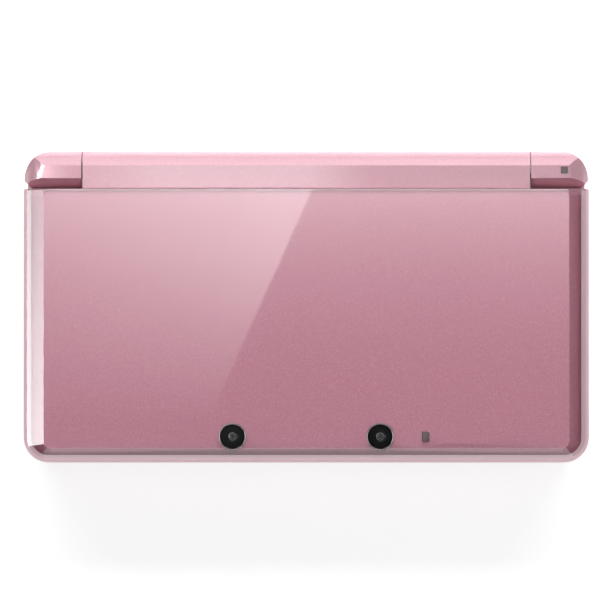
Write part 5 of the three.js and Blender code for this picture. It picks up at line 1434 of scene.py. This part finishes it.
class CONSOLE_OT_stage(Operator):
    """Makes the floor, the lamps, the cards that the lid reflects and the camera"""
    bl_idname = "console.stage"
    bl_label = "Stage"

    def execute(self, context):
        stage = context.scene.console_stage
        self.make_floor(stage)
        self.make_world(context, stage)
        self.make_lamp(context, "back_lamp", place=(0, 0.21, 0.16), target=(0, 0, 0.02), size=(0.5, 0.08),
                       power=stage.back_power)
        self.make_lamp(context, "side_lamp", place=(0.24, -0.02, 0.6), target=(0, 0, 0.01), size=(0.4, 0.4),
                       power=stage.side_power)
        self.make_cards(stage)
        self.make_camera(context, stage)
        context.scene.view_settings.view_transform = "Standard"
        return {"FINISHED"}

    def make_floor(self, stage):
        made = bmesh.new()
        half = stage.floor_width / 2
        made.faces.new([made.verts.new(place) for place in (
            (-half, -half, 0), (half, -half, 0), (half, half, 0), (-half, half, 0))])
        floor = built("floor", made)
        material, tree, entries, place = new_material("floor_paint")
        patches_per_metre, own_light = 6.0, 0.75
        greys = [(grey, grey, grey, 1) for grey in (0.84, 0.86)]
        link(tree, mix_colours(tree, noise(tree, place, patches_per_metre), *greys), entries["Base Color"])
        set_values(entries, Roughness=0.85, Specular_IOR_Level=0.1, Emission_Color=(1, 1, 1, 1))
        seen = seen_by(tree, "Glossy", "Transmission", "Camera")
        link(tree, maths(tree, "MULTIPLY", seen, own_light), entries["Emission Strength"])
        floor.data.materials.append(material)

    def make_world(self, context, stage):
        """A white studio, darker overhead, as far as it is seen or mirrored, and a plain light otherwise."""
        world = bpy.data.worlds.new("studio")
        world.use_nodes = True
        tree = world.node_tree
        back = tree.nodes["Background"]
        place = tree.nodes.new("ShaderNodeTexCoord").outputs["Generated"]
        axes = split_vector(tree, place)
        fall_off, level_strength, backward = 0.8, 0.75, -0.6
        share = maths(tree, "POWER", maths(tree, "ABSOLUTE", axes[2]), fall_off)
        white, dark = (1.0, 0.99, 0.99, 1), (0.06, 0.06, 0.06, 1)
        link(tree, mix_colours(tree, share, white, dark), back.inputs["Color"])
        mirrored = maths(tree, "MULTIPLY_ADD", axes[1], backward, level_strength)
        clear = seen_by(tree, "Glossy", "Transmission")
        reflected = maths(tree, "MULTIPLY", clear, mirrored)
        plain = maths(tree, "MULTIPLY", maths(tree, "SUBTRACT", 1.0, clear), stage.world_strength)
        unseen = maths(tree, "ADD", reflected, plain)
        link(tree, maths(tree, "MAXIMUM", seen_by(tree, "Camera"), unseen), back.inputs["Strength"])
        context.scene.world = world

    def make_lamp(self, context, name, place, target, size, power):
        lamp = bpy.data.lights.new(name, "AREA")
        lamp.shape = "RECTANGLE"
        lamp.size, lamp.size_y = size
        lamp.energy = power
        holder = bpy.data.objects.new(name, lamp)
        holder.location = place
        aim = Vector(target) - Vector(place)
        holder.rotation_euler = aim.to_track_quat("-Z", "Y").to_euler()
        holder.visible_camera = False
        holder.visible_glossy = False
        context.scene.collection.objects.link(holder)

    def make_glow(self, name, corners, brightness):
        """A lit card that only mirror reflections show, and not what lies behind clear plastic."""
        made = bmesh.new()
        made.faces.new([made.verts.new(place) for place in corners])
        card = built(name, made)
        material, tree, entries = bare_material(name + "_light", "ShaderNodeEmission")
        mirrored = maths(tree, "SUBTRACT", 1.0, seen_by(tree, "Transmission"))
        link(tree, maths(tree, "MULTIPLY", brightness(tree), mirrored), entries["Strength"])
        card.data.materials.append(material)
        card.visible_camera = False
        card.visible_diffuse = False
        card.visible_transmission = False
        card.visible_shadow = False

    def make_cards(self, stage):
        """The cards that the lid and the hinge mirror: three overhead, one behind, one far in front."""
        level = high("lid_clear_cover").z
        above_camera = 1.4
        height = stage.camera_height * above_camera
        spread = 1 + above_camera
        slant_top, slant_bottom, fade_length = 16.0, -38.0, 75
        top, bottom, half_width = 60, -60, 100

        def graded(tree, share, rise, base):
            """The base brightness, and the rise where the share is 1."""
            return maths(tree, "MULTIPLY_ADD", share, rise * stage.card_strength, base * stage.card_strength)

        def level_card(left, right, front, back, height):
            return [(x, y, height) for x, y in ((left, front), (right, front), (right, back), (left, back))]

        def upright_card(left, right, place, foot, head):
            return [(x, place, z) for x, z in ((left, foot), (right, foot), (right, head), (left, head))]

        def lid_place(tree, axis, start, length):
            """0 to 1 along an axis of the lid, as the camera sees it in the card."""
            place = split_vector(tree, object_place(tree))[axis]
            return maths(tree, "DIVIDE", maths(tree, "SUBTRACT", place, start * MM * spread),
                         length * MM * spread, clamp=True)

        def overhead(tree):
            axes = split_vector(tree, object_place(tree))
            slope = (slant_top - slant_bottom) / (top - bottom)
            middle = (slant_top + slant_bottom) / 2
            edge = maths(tree, "MULTIPLY_ADD", axes[1], slope, middle * spread * MM)
            behind = maths(tree, "SUBTRACT", edge, axes[0])
            lit = maths(tree, "GREATER_THAN", behind, 0.0)
            faded = maths(tree, "DIVIDE", behind, fade_length * MM * spread)
            fading = maths(tree, "SUBTRACT", 1.0, faded, clamp=True)
            rising = lid_place(tree, 1, start=-27, length=40)
            slanted = maths(tree, "MULTIPLY", maths(tree, "MULTIPLY", lit, fading), rising)
            even = maths(tree, "POWER", lid_place(tree, 1, start=-34, length=60), 3.0)
            return maths(tree, "MULTIPLY", maths(tree, "ADD", slanted, even), stage.card_strength)

        def at_left(tree):
            forward = maths(tree, "SUBTRACT", 1.0, lid_place(tree, 1, start=-32, length=60))
            return graded(tree, forward, rise=2.0, base=1.9)

        def in_front(tree):
            across = split_vector(tree, object_place(tree))[0]
            left_end, left_slope, right_slope = 0.12, 0.05, 0.03
            rising = maths(tree, "DIVIDE", maths(tree, "ADD", across, left_end), left_slope, clamp=True)
            fallen = maths(tree, "DIVIDE", across, right_slope)
            falling = maths(tree, "SUBTRACT", 1.0, fallen, clamp=True)
            return graded(tree, maths(tree, "MULTIPLY", rising, falling), rise=1.0, base=0.2)

        def behind_hinge(tree):
            brightest_from = 0.3
            upward = split_vector(tree, object_place(tree))[2]
            return graded(
                tree, maths(tree, "DIVIDE", upward, brightest_from, clamp=True), rise=0.3, base=0.2)

        def before_rim(tree):
            bright_from = 0.85
            upward = split_vector(tree, object_place(tree))[2]
            return graded(tree, maths(tree, "GREATER_THAN", upward, bright_from), rise=0.55, base=0.15)

        reach, front, back = [share * spread * MM for share in (half_width, bottom, top)]
        near = level + stage.camera_height
        for name, corners, brightness in (
                ("reflection_card", level_card(-reach, reach, front, back, level + height), overhead),
                ("left_card", level_card(-0.8, -0.46, -0.3, 0.2, near), at_left),
                ("front_card", level_card(-0.45, 0.45, -0.36, -0.16, near), in_front),
                ("back_card", upright_card(0.35, -0.35, 0.32, 0.01, 0.4), behind_hinge),
                ("rim_card", upright_card(-0.6, 0.6, -0.8, 0.2, 1.4), before_rim)):
            self.make_glow(name, corners, brightness)

    def make_camera(self, context, stage):
        lens = bpy.data.cameras.new("photo")
        lens.lens = lens.sensor_width * stage.camera_height / stage.view_width
        lens.clip_start, lens.clip_end = 0.01, 20
        off_centre = 0.07 * MM
        eye = bpy.data.objects.new("photo", lens)
        eye.location = (-off_centre, off_centre, high("lid_clear_cover").z + stage.camera_height)
        context.scene.collection.objects.link(eye)
        context.scene.camera = eye


# The add-on

class CONSOLE_PT_pieces(Panel):
    """Lists the operators that make the console, and their sizes and colours"""
    bl_idname = "CONSOLE_PT_pieces"
    bl_label = "Handheld console"
    bl_space_type = "VIEW_3D"
    bl_region_type = "UI"
    bl_category = "Console"

    def draw(self, context):
        scene = context.scene
        for group in (scene.console_finishes, scene.console_sizes, scene.console_stage):
            box = self.layout.box()
            for name in group.__annotations__:
                box.prop(group, name)
        for operator in OPERATORS:
            self.layout.operator(operator.bl_idname)


OPERATORS = (
    CONSOLE_OT_lid_cover,
    CONSOLE_OT_shells,
    CONSOLE_OT_cameras,
    CONSOLE_OT_lights,
    CONSOLE_OT_upper_screen,
    CONSOLE_OT_hinge,
    CONSOLE_OT_buttons,
    CONSOLE_OT_pads,
    CONSOLE_OT_edge_controls,
    CONSOLE_OT_stylus,
    CONSOLE_OT_inside,
    CONSOLE_OT_underside,
    CONSOLE_OT_stage,
)
CLASSES = (ConsoleFinishes, ConsoleSizes, ConsoleStage, *OPERATORS, CONSOLE_PT_pieces)


def register():
    for made in CLASSES:
        bpy.utils.register_class(made)
    bpy.types.Scene.console_finishes = PointerProperty(type=ConsoleFinishes)
    bpy.types.Scene.console_sizes = PointerProperty(type=ConsoleSizes)
    bpy.types.Scene.console_stage = PointerProperty(type=ConsoleStage)


def unregister():
    del bpy.types.Scene.console_stage
    del bpy.types.Scene.console_sizes
    del bpy.types.Scene.console_finishes
    for made in reversed(CLASSES):
        bpy.utils.unregister_class(made)


def main():
    register()
    for operator in OPERATORS:
        group, name = operator.bl_idname.split(".")
        getattr(getattr(bpy.ops, group), name)()


if __name__ == "__main__":
    main()
